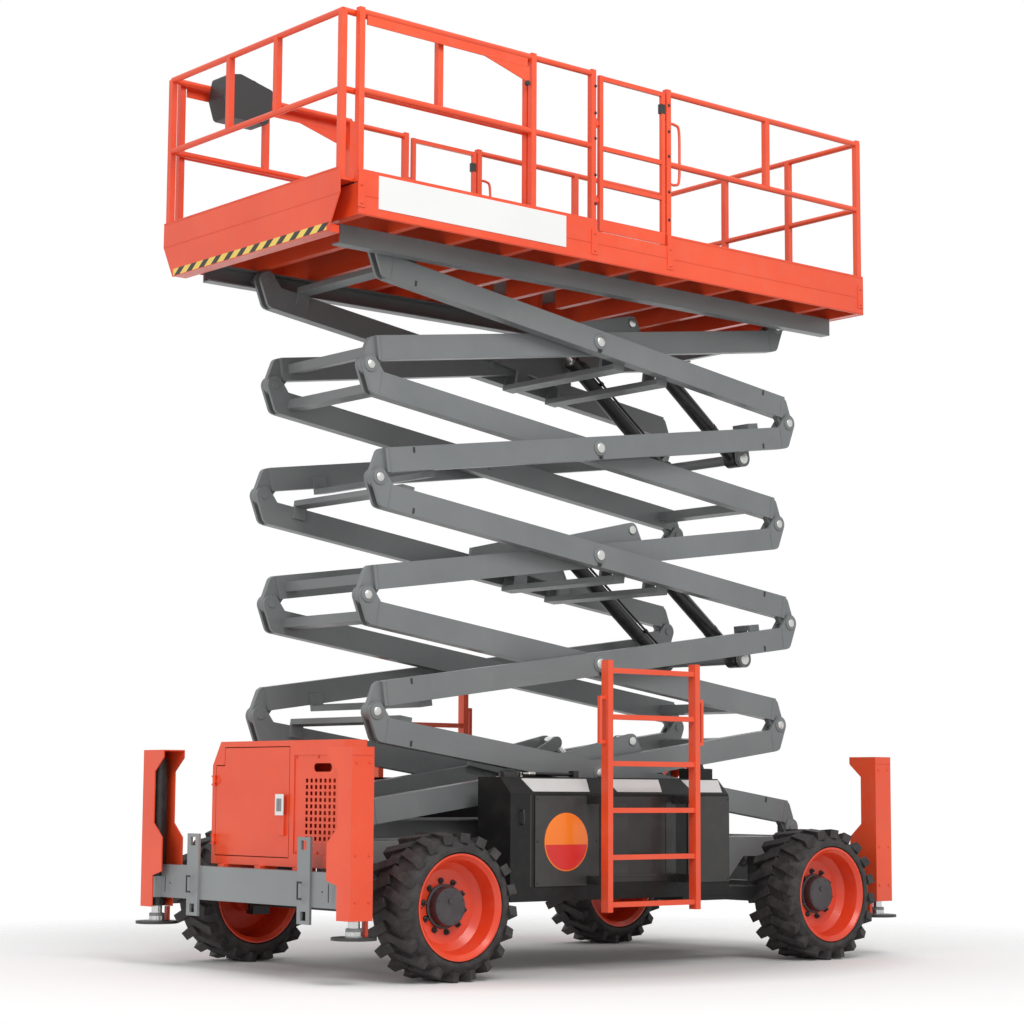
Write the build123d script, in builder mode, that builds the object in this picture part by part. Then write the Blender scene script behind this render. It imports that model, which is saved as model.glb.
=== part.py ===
"""Rough-terrain scissor lift, platform part raised, roll-out deck in, outriggers up.

Millimetres. +X is forward, towards the roll-out end of the platform, +Y is the machine's
left, where the fixed cover is, and +Z is up. The origin is on the ground, under the middle of
the wheelbase. Every arm stands at the rest angle of the scissors, REST_ANGLE.
"""
import os
from math import asin, atan2, cos, degrees, hypot, radians, sin, sqrt

from build123d import *

os.makedirs("parts", exist_ok=True)

# ---------------------------------------------------------------- driving dimensions
OVERALL_WIDTH = 2340.0
WHEELBASE = 3035.0

TYRE_RADIUS = 410.0
TYRE_WIDTH = 370.0
RIM_RADIUS = 295.0
LUG_COUNT = 20
LUG_HEIGHT = 24.0
LUG_LENGTH = 190.0
LUG_THICKNESS = 56.0
LUG_SKEW = 20.0
HUB_RADIUS = 108.0
KINGPIN_INSET = 310.0          # from the tyre's outer face to the steering axis
KINGPIN_RADIUS = 26.0

# scissor stack
STAGES = 5
PIN_SPAN = 3502.5              # pin to pin along one arm
REST_ANGLE = 11.09             # pin line to the horizontal, as it stands
ARM_PITCH = 190.0              # height of one stage when the stack lies flat
ARM_DEPTH = 145.0
ARM_WIDTH = 80.0
OUTER_ARM_FACE = 625.0         # outer face of the outer arms, from the middle
INNER_ARM_FACE = 525.0
REAR_PIN_X = -1727.0
BASE_PIN_Z = 822.0
PIN_RADIUS = 24.0
CENTRE_PIN_RADIUS = 28.0
LUG_RADIUS = 56.0              # round eye about an end pin
FORK_PLATE = 20.0
FORK_GAP = 2.0
PIN_FIT = 0.3
TUBE_SETBACK = 62.0            # full-width tube stops this far short of the pins
END_ROUND = 45.0
END_INSET = 1.5                # the end plates stand this far inside the tube's depth
CROSS_TUBE = (80.0, 60.0)      # inner arms: along the arm, and deep
CROSS_TUBE_SETBACK = 150.0
FLAT_BAR = (90.0, 35.0)        # outer arms: passes between stacked inner arms
LOW_BAR_SETBACK = 420.0
ROLLER_WIDTH = 58.0
BASE_ROLLER_RADIUS = 45.0
TOP_ROLLER_RADIUS = 35.0

# lift cylinders, three pairs
FOOT_REACH = 270.0             # from the rear pin along the arm to the cylinder's foot
FOOT_DROP = 205.0
HEAD_REACH = 1325.0            # from the rear pin along the arm to the rod's eye
HEAD_RISE = 365.0
CYLINDER_Y = 345.0
BARREL_RADIUS = 48.0
BARREL_LENGTH = 1080.0
ROD_RADIUS = 30.0
ROD_LENGTH = 1120.0
EYE_RADIUS = 40.0
EYE_WIDTH = 70.0
EAR_PLATE = 18.0
EAR_GAP = 5.0
EAR_BRIDGE = (1520.0, 230.0)   # joins the inner ear to the gusset
GUSSET_PLATE = 25.0
GUSSET_FOOT = (1095.0, 90.0)
GUSSET_TIP = (1930.0, 150.0)
GUSSET_BARS = (1120.0, 1500.0)
FOOT_TUBE_RADIUS = 34.0
FOOT_EYE_RADIUS = 56.0
HANGER_FACE = 436.0            # outer face of the plates that hang inside the inner arms
HANGER_PLATE = 30.0

# chassis
BEAM_TOP = 764.5
BEAM_BOTTOM = 490.0
BEAM_FACE = 625.0              # outer face of the side beams
BEAM_WIDTH = 120.0
BEAM_WALL = 10.0
BUMPER_DEPTH = 60.0
BUMPER_Z = (405.0, 600.0)
TIE_PLATE_Y = 565.0
TIE_PLATE_WIDTH = 120.0
TIE_PLATE_Z = (310.0, 790.0)
TIE_PLATE_THICKNESS = 16.0
TIE_HOLE = 50.0

# outriggers
TOWER_DEPTH = 150.0
TOWER_FACE = 1065.0            # outer face, from the middle
TOWER_TOP = 1285.0
TOWER_FOOT = 348.0
TOWER_WALL = 8.0
TOWER_WIDE = 225.0
TOWER_NARROW = 128.0
LEG_RADIUS = 32.0
LEG_BORE_RADIUS = 50.0
PAD_RADIUS = 125.0
PAD_Z = 245.0
PAD_THICKNESS = 16.0

# front cabinet
CABINET_Y = (-530.0, 790.0)
CABINET_Z = (615.0, 1330.0)
CABINET_WALL = 6.0
CABINET_DOOR_Y = (-488.0, 262.0)
CABINET_DOOR_Z = (668.0, 1292.0)
DOOR_GAP = 5.0
GRILLE_COUNT = (7, 10)
GRILLE_HOLE = 22.0

# side pods
POD_Y = (655.0, 950.0)
POD_Z = (415.0, 1132.0)
POD_SHOULDER = 95.0
POD_WALL = 6.0
COVER_PLATE = 4.0
COVER_X = (300.0, 800.0)
POD_DOOR_X = (420.0, 920.0)
POD_DOOR_Z = (495.0, 1026.0)

# ladder
LADDER_X = 20.0
LADDER_WIDTH = 720.0
LADDER_RAIL = (40.0, 60.0)
LADDER_FACE = 1145.0
LADDER_Z = (348.0, 1822.0)
RUNG_Z = 392.0
RUNG_PITCH = 274.0
RUNG_COUNT = 6

# platform
PLATFORM_X = (-2106.0, 2140.0)
PLATFORM_FACE = 965.0
FASCIA_RISE = (67.0, 330.0)    # bottom and top above the top pins
FASCIA_PLATE = 8.0
JOIST_RISE = (67.0, 250.0)
JOIST_WIDTH = 50.0
JOIST_PITCH = 430.0
DECK_PLATE = 8.0
TRACK_WALL = 10.0
RAIL_TOP = 1269.0              # top of the guard rail above the top pins
RAIL_MID = 793.0
RAIL_RADIUS = 19.0
POST_SIZE = 38.0
ROLLOUT_FRONT = 2240.0
ROLLOUT_REAR = 820.0
ROLLOUT_FACE = 915.0
GATE_POSTS = (350.0, -290.0)
GATE_STANDOFF = 20.0

# ---------------------------------------------------------------- worked out
TILT_FLAT = degrees(asin(ARM_PITCH / PIN_SPAN))       # pin line when the tubes lie flat
ARM_LENGTH = sqrt(PIN_SPAN ** 2 - ARM_PITCH ** 2)
ARM_TILT = REST_ANGLE - TILT_FLAT
STAGE_RISE = PIN_SPAN * sin(radians(REST_ANGLE))
PIN_RUN = PIN_SPAN * cos(radians(REST_ANGLE))
FRONT_PIN_X = REAR_PIN_X + PIN_RUN
TOP_PIN_Z = BASE_PIN_Z + STAGES * STAGE_RISE
TYRE_Y = OVERALL_WIDTH / 2 - TYRE_WIDTH / 2
KINGPIN_Y = OVERALL_WIDTH / 2 - KINGPIN_INSET
DECK_TOP = TOP_PIN_Z + JOIST_RISE[1] + DECK_PLATE
WHEEL_X = WHEELBASE / 2
BEAM_END = WHEEL_X + 567.5
TOWER_X = BEAM_END + 45
CABINET_X = (BEAM_END - 185, BEAM_END - 30)
POD_X = (717.5 - WHEEL_X, WHEEL_X - 532.5)

SIDES = (("left", 1), ("right", -1))
CORNERS = (("front_left", 1, 1), ("front_right", 1, -1), ("rear_left", -1, 1), ("rear_right", -1, -1))


def save(name, part):
    """Label one finished sub-part and write it to its own STEP file."""
    part.label = name
    export_step(part, f"parts/{name}.step")


def slab(x, y, z):
    """A box between two corners, each axis given as (low, high)."""
    with Locations(((x[0] + x[1]) / 2, (y[0] + y[1]) / 2, (z[0] + z[1]) / 2)):
        Box(abs(x[1] - x[0]), abs(y[1] - y[0]), abs(z[1] - z[0]))


def slab_cut(x, y, z):
    """The same box, taken away."""
    with Locations(((x[0] + x[1]) / 2, (y[0] + y[1]) / 2, (z[0] + z[1]) / 2)):
        Box(abs(x[1] - x[0]), abs(y[1] - y[0]), abs(z[1] - z[0]), mode=Mode.SUBTRACT)


def cross_bar(x, y, z, radius, mode=Mode.ADD):
    """A round bar along Y between two distances, at one x and z."""
    with BuildSketch(Plane.XZ.offset(-y[1])) as profile:
        with Locations((x, z)):
            Circle(radius)
    extrude(profile.sketch, amount=y[1] - y[0], mode=mode)


# ---------------------------------------------------------------- scissor arms
# An arm is made lying level on Plane.XZ, its lower pin on the origin, X along the tube and
# Y up across it. A finished arm is then turned to its own angle and set on its lower pin.
def set_arm(arm, level, forward):
    """The finished arm, standing on pin level `level` and leaning forward or back."""
    z = BASE_PIN_Z + level * STAGE_RISE
    run = cos(radians(ARM_TILT))
    rise = sin(radians(ARM_TILT))
    if forward:
        lean = Plane(origin=(REAR_PIN_X, 0, z), x_dir=(run, 0, rise), z_dir=(0, -1, 0))
    else:
        lean = Plane(origin=(FRONT_PIN_X, 0, z), x_dir=(-run, 0, rise), z_dir=(0, 1, 0))
    return arm.moved(lean.location * Plane.XZ.location.inverse())


def arm_end(inner_face, width, pin, side):
    """Outline of an arm's end as a plate: an eye about the pin, drawn into the tube."""
    with BuildSketch(Plane.XZ.offset(inner_face)) as profile:
        with Locations(pin):
            Circle(LUG_RADIUS)
        depth = ARM_DEPTH - 2 * END_INSET
        rounding = (pin[0] + side * 55, ARM_PITCH / 2 + side * (depth / 2 - END_ROUND))
        with Locations(rounding):
            Circle(END_ROUND)
        with Locations((pin[0] + side * 100, ARM_PITCH / 2)):
            Rectangle(4, depth)
        make_hull()
    extrude(profile.sketch, amount=width)


def arm_disc(start, end, at, radius, mode=Mode.ADD):
    """A round piece across the arm, between two distances from the middle."""
    with BuildSketch(Plane.XZ.offset(start)) as profile:
        with Locations(at):
            Circle(radius)
    extrude(profile.sketch, amount=end - start, mode=mode)


def arm_block(start, end, at, size, mode=Mode.ADD):
    """A square-cut piece across the arm, between two distances from the middle."""
    with BuildSketch(Plane.XZ.offset(start)) as profile:
        with Locations(at):
            Rectangle(*size)
    extrude(profile.sketch, amount=end - start, mode=mode)


def arm_side(face, bored=True):
    """One side's tube with its tongue at the lower pin and its fork at the upper one."""
    inside = face - ARM_WIDTH
    arm_block(inside, face, (ARM_LENGTH / 2, ARM_PITCH / 2),
              (ARM_LENGTH - 2 * TUBE_SETBACK, ARM_DEPTH))
    tongue = FORK_PLATE + FORK_GAP
    arm_end(inside + tongue, ARM_WIDTH - 2 * tongue, (0, 0), 1)
    for start in (inside, face - FORK_PLATE):
        arm_end(start, FORK_PLATE, (ARM_LENGTH, ARM_PITCH), -1)
    if bored:
        arm_disc(inside, face, (0, 0), PIN_RADIUS + PIN_FIT, Mode.SUBTRACT)
    arm_disc(inside - 6, face + 8, (ARM_LENGTH, ARM_PITCH), PIN_RADIUS)


def head_gusset():
    """A long plate on two cross bars that rises inside the inner arms to the rod's eye,
    and takes the eye between itself and an inner ear."""
    head = (HEAD_REACH, HEAD_RISE)
    plate = CYLINDER_Y + BARREL_RADIUS + 10
    with BuildSketch(Plane.XZ.offset(plate)) as profile:
        with Locations(head):
            Circle(EYE_RADIUS + 8)
        with Locations(GUSSET_FOOT):
            Rectangle(30, 10)
        with Locations(GUSSET_TIP):
            Rectangle(40, 60)
        make_hull()
    extrude(profile.sketch, amount=GUSSET_PLATE)
    for reach in GUSSET_BARS:
        flat_bar((reach, 0), -1)
        arm_block(plate, plate + GUSSET_PLATE, (reach, 60), (FLAT_BAR[0], 120 + FLAT_BAR[1]))
    half = EYE_WIDTH / 2 + EAR_GAP
    ear = CYLINDER_Y - half - EAR_PLATE
    with BuildSketch(Plane.XZ.offset(ear)) as profile:
        with Locations(head):
            Circle(EYE_RADIUS)
        with Locations(EAR_BRIDGE):
            Rectangle(60, 50)
        make_hull()
    extrude(profile.sketch, amount=EAR_PLATE)
    arm_block(ear, plate + 1, EAR_BRIDGE, (60, 50))
    arm_disc(CYLINDER_Y + half, plate + 1, head, PIN_RADIUS + 12)
    # the pin's outer end, proud of the gusset
    arm_disc(plate, HANGER_FACE, head, PIN_RADIUS)


def foot_hanger():
    """A plate inside each inner arm, hung from the pin line, with the tube that the
    cylinders' feet turn on."""
    at = (ARM_LENGTH - FOOT_REACH, ARM_PITCH)
    with BuildSketch(Plane.XZ.offset(HANGER_FACE - HANGER_PLATE)) as profile:
        with Locations((at[0], at[1] - FOOT_DROP)):
            Circle(FOOT_EYE_RADIUS)
        with Locations(at):
            Rectangle(*FLAT_BAR)
        make_hull()
    extrude(profile.sketch, amount=HANGER_PLATE)
    arm_disc(0, HANGER_FACE - 2, (at[0], at[1] - FOOT_DROP), FOOT_TUBE_RADIUS)


def flat_bar(at, side, start=0.0):
    """A flat cross bar at pin height, and the plates that carry it from the tubes."""
    arm_block(start, OUTER_ARM_FACE - ARM_WIDTH + 1, at, FLAT_BAR)
    plate_top = at[1] + side * FLAT_BAR[1] / 2
    plate_foot = ARM_PITCH / 2
    arm_block(OUTER_ARM_FACE - ARM_WIDTH - 14, OUTER_ARM_FACE - ARM_WIDTH + 4,
              (at[0], (plate_top + plate_foot) / 2), (FLAT_BAR[0], abs(plate_top - plate_foot)))


for stage in range(1, STAGES + 1):
    forward = stage % 2 == 1
    middle = (ARM_LENGTH / 2, ARM_PITCH / 2)

    with BuildPart() as outer_arm:
        arm_side(OUTER_ARM_FACE)
        arm_disc(INNER_ARM_FACE + 1, OUTER_ARM_FACE - ARM_WIDTH + 2, middle, 52)
        arm_disc(INNER_ARM_FACE - ARM_WIDTH - 8, OUTER_ARM_FACE + 10, middle,
                 CENTRE_PIN_RADIUS)
        if forward:
            flat_bar((ARM_LENGTH - FOOT_REACH, ARM_PITCH), 1)
            head_gusset()
        else:
            flat_bar((LOW_BAR_SETBACK, 0), -1)
            # open between the hangers, where the cylinders swing past
            flat_bar((ARM_LENGTH - FOOT_REACH, ARM_PITCH), 1, HANGER_FACE - HANGER_PLATE)
            foot_hanger()
        if stage == STAGES:
            arm_disc(OUTER_ARM_FACE, OUTER_ARM_FACE + 12, (ARM_LENGTH, ARM_PITCH),
                     PIN_RADIUS)
            arm_disc(OUTER_ARM_FACE + 12, OUTER_ARM_FACE + 12 + ROLLER_WIDTH,
                     (ARM_LENGTH, ARM_PITCH), TOP_ROLLER_RADIUS)
        mirror(about=Plane.XZ)
    save(f"outer_arm_{stage}", set_arm(outer_arm.part, stage - 1, forward))

    with BuildPart() as inner_arm:
        arm_side(INNER_ARM_FACE, bored=stage > 1)
        arm_disc(INNER_ARM_FACE - ARM_WIDTH, INNER_ARM_FACE, middle,
                 CENTRE_PIN_RADIUS + PIN_FIT, Mode.SUBTRACT)
        for at in (CROSS_TUBE_SETBACK, ARM_LENGTH - CROSS_TUBE_SETBACK):
            arm_block(0, INNER_ARM_FACE - ARM_WIDTH + 1, (at, ARM_PITCH / 2), CROSS_TUBE)
        if stage == 1:
            roller_out = INNER_ARM_FACE - ARM_WIDTH - 12
            arm_disc(roller_out, INNER_ARM_FACE - ARM_WIDTH + 30, (0, 0), PIN_RADIUS)
            arm_disc(roller_out - ROLLER_WIDTH, roller_out, (0, 0), BASE_ROLLER_RADIUS)
        mirror(about=Plane.XZ)
    save(f"inner_arm_{stage}", set_arm(inner_arm.part, stage - 1, not forward))


# ---------------------------------------------------------------- lift cylinders
def foot_point(level):
    """Foot pin of the pair whose rod lifts the arm that starts on `level`."""
    z = BASE_PIN_Z + level * STAGE_RISE
    tilt = radians(ARM_TILT) if level else 0.0
    return (REAR_PIN_X + FOOT_REACH * cos(tilt) - FOOT_DROP * sin(tilt),
            z - FOOT_REACH * sin(tilt) - FOOT_DROP * cos(tilt))


def head_point(level):
    """Where the rod's eye sits, on the arm that starts on `level`."""
    z = BASE_PIN_Z + level * STAGE_RISE
    tilt = radians(ARM_TILT)
    return (REAR_PIN_X + HEAD_REACH * cos(tilt) - HEAD_RISE * sin(tilt),
            z + HEAD_REACH * sin(tilt) + HEAD_RISE * cos(tilt))


for pair, level in enumerate((0, 2, 4), start=1):
    foot = foot_point(level)
    head = head_point(level)
    reach = hypot(head[0] - foot[0], head[1] - foot[1])
    along = Vector(head[0] - foot[0], 0, head[1] - foot[1]).normalized()

    with BuildPart() as barrel:
        for side in (1, -1):
            axis = Plane(origin=(foot[0], side * CYLINDER_Y, foot[1]), x_dir=(0, 1, 0), z_dir=along)
            cross_bar(foot[0], (side * CYLINDER_Y - BARREL_RADIUS, side * CYLINDER_Y + BARREL_RADIUS),
                      foot[1], FOOT_EYE_RADIUS)
            with BuildSketch(axis):
                Circle(BARREL_RADIUS)
            extrude(amount=BARREL_LENGTH)
            with BuildSketch(axis.offset(BARREL_LENGTH - 40)):
                Circle(BARREL_RADIUS + 6)
            extrude(amount=40)
            with BuildSketch(axis.offset(FOOT_EYE_RADIUS + 6)):
                Circle(ROD_RADIUS + PIN_FIT)
            extrude(amount=BARREL_LENGTH, mode=Mode.SUBTRACT)
            cross_bar(foot[0], (side * CYLINDER_Y - BARREL_RADIUS, side * CYLINDER_Y + BARREL_RADIUS),
                      foot[1], FOOT_TUBE_RADIUS + PIN_FIT, Mode.SUBTRACT)
    save(f"cylinder_barrels_{pair}", barrel.part)

    with BuildPart() as rod:
        for side in (1, -1):
            axis = Plane(origin=(foot[0], side * CYLINDER_Y, foot[1]), x_dir=(0, 1, 0), z_dir=along)
            with BuildSketch(axis.offset(reach - ROD_LENGTH)):
                Circle(ROD_RADIUS)
            extrude(amount=ROD_LENGTH)
            cross_bar(head[0], (side * CYLINDER_Y - EYE_WIDTH / 2, side * CYLINDER_Y + EYE_WIDTH / 2),
                      head[1], EYE_RADIUS)
    save(f"cylinder_rods_{pair}", rod.part)


# ---------------------------------------------------------------- chassis
TRACK_X = (-60.0, WHEEL_X + 332.5)
TRACK_IN = INNER_ARM_FACE - ARM_WIDTH - 12 - ROLLER_WIDTH - 18
TRACK_OUT = INNER_ARM_FACE - ARM_WIDTH - 7
TRACK_FLOOR = BASE_PIN_Z - BASE_ROLLER_RADIUS - 0.5
TRACK_ROOF = BASE_PIN_Z + BASE_ROLLER_RADIUS + 6
chassis_foot = foot_point(0)
FOOT_MEMBER_X = chassis_foot[0] - 110
CROSS_MEMBER_X = (135 - BEAM_END, FOOT_MEMBER_X, -150.0, 900.0, BEAM_END - 285)
AXLE_ARCH = ((-400.0, BEAM_BOTTOM - 1), (-250.0, 640.0), (250.0, 640.0), (400.0, BEAM_BOTTOM - 1))

with BuildPart() as chassis_frame:
    for _, side in SIDES:
        beam_in = BEAM_FACE - BEAM_WIDTH
        slab((-BEAM_END, BEAM_END), (side * (BEAM_FACE - BEAM_WALL), side * BEAM_FACE),
             (BEAM_BOTTOM, BEAM_TOP))
        for z in (BEAM_BOTTOM, BEAM_TOP - BEAM_WALL):
            slab((-BEAM_END, BEAM_END), (side * beam_in, side * BEAM_FACE), (z, z + BEAM_WALL))
    for x in (-WHEEL_X, WHEEL_X):
        with BuildSketch(Plane.XZ.offset(-BEAM_FACE - 1)):
            with BuildLine():
                Polyline([(x + px, pz) for px, pz in AXLE_ARCH], close=True)
            make_face()
        extrude(amount=2 * BEAM_FACE + 2, mode=Mode.SUBTRACT)
    slab_cut((CABINET_X[0] - 20, BEAM_END + 1), (-BEAM_FACE - 1, BEAM_FACE + 1),
             (BUMPER_Z[1] - 26, BEAM_TOP + 1))
    for x in CROSS_MEMBER_X:
        slab((x - 45, x + 45), (-BEAM_FACE + BEAM_WALL, BEAM_FACE - BEAM_WALL), (BEAM_TOP - 80, BEAM_TOP))
    # the tube that the lowest cylinders' feet turn on, in plates under a cross member
    cross_bar(chassis_foot[0], (-HANGER_FACE, HANGER_FACE), chassis_foot[1], FOOT_TUBE_RADIUS)
    for _, side in SIDES:
        hanger = min(side * HANGER_FACE, side * (HANGER_FACE - HANGER_PLATE))
        with BuildSketch(Plane.XZ.offset(hanger)) as plate:
            with Locations(chassis_foot):
                Circle(FOOT_EYE_RADIUS)
            with Locations((FOOT_MEMBER_X, BEAM_TOP - 40)):
                Rectangle(90, 80)
            make_hull()
        extrude(plate.sketch, amount=HANGER_PLATE)
    # roller tracks and rear pivots
    for _, side in SIDES:
        slab(TRACK_X, (side * TRACK_IN, side * TRACK_OUT), (BEAM_TOP, TRACK_FLOOR))
        slab(TRACK_X, (side * TRACK_IN, side * TRACK_OUT), (TRACK_ROOF, TRACK_ROOF + 8))
        slab(TRACK_X, (side * TRACK_IN, side * (TRACK_IN + 10)), (BEAM_TOP, TRACK_ROOF + 8))
        for start in (OUTER_ARM_FACE - ARM_WIDTH, OUTER_ARM_FACE - FORK_PLATE):
            plate = (side * start, side * (start + FORK_PLATE))
            slab((REAR_PIN_X - LUG_RADIUS, REAR_PIN_X + LUG_RADIUS), plate, (BEAM_TOP - 5, BASE_PIN_Z))
            cross_bar(REAR_PIN_X, (min(plate), max(plate)), BASE_PIN_Z, LUG_RADIUS)
        pin = (side * (OUTER_ARM_FACE - ARM_WIDTH), side * (OUTER_ARM_FACE + 8))
        cross_bar(REAR_PIN_X, (min(pin), max(pin)), BASE_PIN_Z, PIN_RADIUS)
save("chassis_frame", chassis_frame.part)

with BuildPart() as bumpers:
    for end in (1, -1):
        near = end * BEAM_END
        far = end * (BEAM_END + BUMPER_DEPTH)
        slab((near, far), (-TOWER_FACE + TOWER_NARROW, TOWER_FACE - TOWER_NARROW), BUMPER_Z)
        for _, side in SIDES:
            flange = (side * (TOWER_FACE - TOWER_NARROW - 17), side * (TOWER_FACE - TOWER_NARROW + 8))
            inside = TOWER_DEPTH / 2 - TOWER_WALL
            slab((end * (TOWER_X - inside), end * (TOWER_X + inside)), flange, (BUMPER_Z[0], 530.0))
        for _, side in SIDES:
            plate_y = (side * TIE_PLATE_Y - TIE_PLATE_WIDTH / 2, side * TIE_PLATE_Y + TIE_PLATE_WIDTH / 2)
            slab((far, far + end * TIE_PLATE_THICKNESS), plate_y, TIE_PLATE_Z)
            for z in (TIE_PLATE_Z[0] + 45, TIE_PLATE_Z[1] - 45):
                slab_cut((far - end, far + end * (TIE_PLATE_THICKNESS + 1)),
                         (side * TIE_PLATE_Y - TIE_HOLE / 2, side * TIE_PLATE_Y + TIE_HOLE / 2),
                         (z - TIE_HOLE / 2, z + TIE_HOLE / 2))
save("bumpers", bumpers.part)


# ---------------------------------------------------------------- axles, knuckles and wheels
AXLE_DEPTH = 130.0
KNUCKLE_HEIGHT = 190.0
KNUCKLE_EAR = 22.0
SPINDLE_RADIUS = 40.0
SPINDLE_END = TYRE_Y
HUB_BACK = -60.0               # the hub's two faces, from the wheel's middle, outboard positive
HUB_FACE = 75.0

with BuildPart() as axles:
    for x in (WHEEL_X, -WHEEL_X):
        steered = x > 0
        reach = KINGPIN_Y - 45 if steered else TYRE_Y + HUB_BACK - 6
        slab((x - 60, x + 60), (-reach, reach), (TYRE_RADIUS - AXLE_DEPTH / 2, TYRE_RADIUS + AXLE_DEPTH / 2))
        for _, side in SIDES:
            seat = (side * (BEAM_FACE - BEAM_WIDTH), side * BEAM_FACE)
            slab((x - 90, x + 90), seat, (TYRE_RADIUS, 640.0))
            if not steered:
                cross_bar(x, (min(side * reach, side * SPINDLE_END), max(side * reach, side * SPINDLE_END)),
                          TYRE_RADIUS, SPINDLE_RADIUS)
                continue
            fork_foot = TYRE_RADIUS - KNUCKLE_HEIGHT / 2 - KNUCKLE_EAR - 2
            for z in (fork_foot, TYRE_RADIUS + KNUCKLE_HEIGHT / 2 + 2):
                slab((x - 35, x + 35), (side * (reach - 10), side * (KINGPIN_Y + 30)), (z, z + KNUCKLE_EAR))
            slab((x - 60, x + 60), (side * (reach - 35), side * reach),
                 (fork_foot, TYRE_RADIUS + KNUCKLE_HEIGHT / 2 + KNUCKLE_EAR + 2))
            with BuildSketch(Plane.XY.offset(fork_foot)):
                with Locations((x, side * KINGPIN_Y)):
                    Circle(KINGPIN_RADIUS)
            extrude(amount=KNUCKLE_HEIGHT + 2 * KNUCKLE_EAR + 4)
save("axles", axles.part)

for label, side in SIDES:
    with BuildPart() as knuckle:
        with BuildSketch(Plane.XY.offset(TYRE_RADIUS - KNUCKLE_HEIGHT / 2)):
            with Locations((WHEEL_X, side * KINGPIN_Y)):
                Circle(KINGPIN_RADIUS + 14)
        extrude(amount=KNUCKLE_HEIGHT)
        cross_bar(WHEEL_X, sorted((side * KINGPIN_Y, side * SPINDLE_END)), TYRE_RADIUS, SPINDLE_RADIUS)
        with BuildSketch(Plane.XY.offset(TYRE_RADIUS - KNUCKLE_HEIGHT / 2)):
            with Locations((WHEEL_X, side * KINGPIN_Y)):
                Circle(KINGPIN_RADIUS + PIN_FIT)
        extrude(amount=KNUCKLE_HEIGHT, mode=Mode.SUBTRACT)
    save(f"knuckle_{label}", knuckle.part)

CASING_RADIUS = TYRE_RADIUS - LUG_HEIGHT
BEAD_RADIUS = RIM_RADIUS - 12.0
HALF = TYRE_WIDTH / 2
TYRE_SECTION = (                   # across, from the middle; radius
    (HALF - 30, BEAD_RADIUS), (HALF - 28, RIM_RADIUS + 3), (HALF - 6, RIM_RADIUS + 8),
    (HALF - 6, RIM_RADIUS + 30), (HALF - 26, CASING_RADIUS - 24), (HALF - 70, CASING_RADIUS))
RIM_SECTION = (                    # across, outboard positive; radius
    (-158, 282.7), (158, 282.7), (166, 295), (174, 295), (174, 284), (152, 262), (60, 246), (28, 205),
    (16, HUB_RADIUS - 2), (2, HUB_RADIUS - 2), (14, 214), (40, 262), (-152, 262), (-174, 284),
    (-174, 295), (-166, 295))

for label, end, side in CORNERS:
    x = end * WHEEL_X
    middle = side * TYRE_Y
    axle = Axis((x, 0, TYRE_RADIUS), (0, 1, 0))
    radial = Plane(origin=(x, middle, TYRE_RADIUS), x_dir=(0, side, 0), z_dir=(side, 0, 0))
    with BuildPart() as tyre:
        with BuildSketch(radial):
            with BuildLine():
                Polyline(*TYRE_SECTION, *[(-across, radius) for across, radius in reversed(TYRE_SECTION)],
                         close=True)
            make_face()
        revolve(axis=axle)
        corner = LUG_THICKNESS / 2 * cos(radians(LUG_SKEW)) + LUG_LENGTH / 2 * sin(radians(LUG_SKEW))
        lug_top = sqrt(TYRE_RADIUS ** 2 - corner ** 2)
        for index in range(2 * LUG_COUNT):
            row = 1 if index % 2 else -1
            turn = radians(180 / LUG_COUNT * index)
            out = Vector(sin(turn), 0, cos(turn))
            around = Vector(cos(turn), 0, -sin(turn))
            skew = radians(LUG_SKEW) * row
            across = LUG_LENGTH / 2 * cos(skew) + LUG_THICKNESS / 2 * abs(sin(skew))
            tread = Plane(origin=Vector(x, middle + row * (HALF - across), TYRE_RADIUS)
                          + out * (CASING_RADIUS - 34), z_dir=out,
                          x_dir=Vector(0, 1, 0) * cos(skew) + around * sin(skew))
            with BuildSketch(tread):
                Rectangle(LUG_LENGTH, LUG_THICKNESS)
            extrude(amount=lug_top - CASING_RADIUS + 34)
    save(f"tyre_{label}", tyre.part)

    with BuildPart() as rim:
        with BuildSketch(radial):
            with BuildLine():
                Polyline(*RIM_SECTION, close=True)
            make_face()
        revolve(axis=axle)
        faces = (middle + side * HUB_BACK, middle + side * HUB_FACE)
        cross_bar(x, (min(faces), max(faces)), TYRE_RADIUS, HUB_RADIUS)
        bore = (middle + side * HUB_BACK, middle + side * 6)
        cross_bar(x, (min(bore), max(bore)), TYRE_RADIUS, SPINDLE_RADIUS + PIN_FIT, Mode.SUBTRACT)
    save(f"rim_{label}", rim.part)


# ---------------------------------------------------------------- outriggers
TOWER_OUTLINE = (                  # inward from the outer face; height
    (0, TOWER_FOOT), (TOWER_NARROW, TOWER_FOOT), (TOWER_NARROW, 535.0), (TOWER_WIDE, 560.0),
    (TOWER_WIDE, 762.0), (TOWER_NARROW, 848.0), (TOWER_NARROW, 1155.0), (TOWER_WIDE, 1238.0),
    (TOWER_WIDE, TOWER_TOP), (0, TOWER_TOP))
JACK_Y = TOWER_FACE - TOWER_WALL - LEG_BORE_RADIUS - 8
JACK_TOP = 1235.0
ROD_TOP = 1190.0

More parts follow.
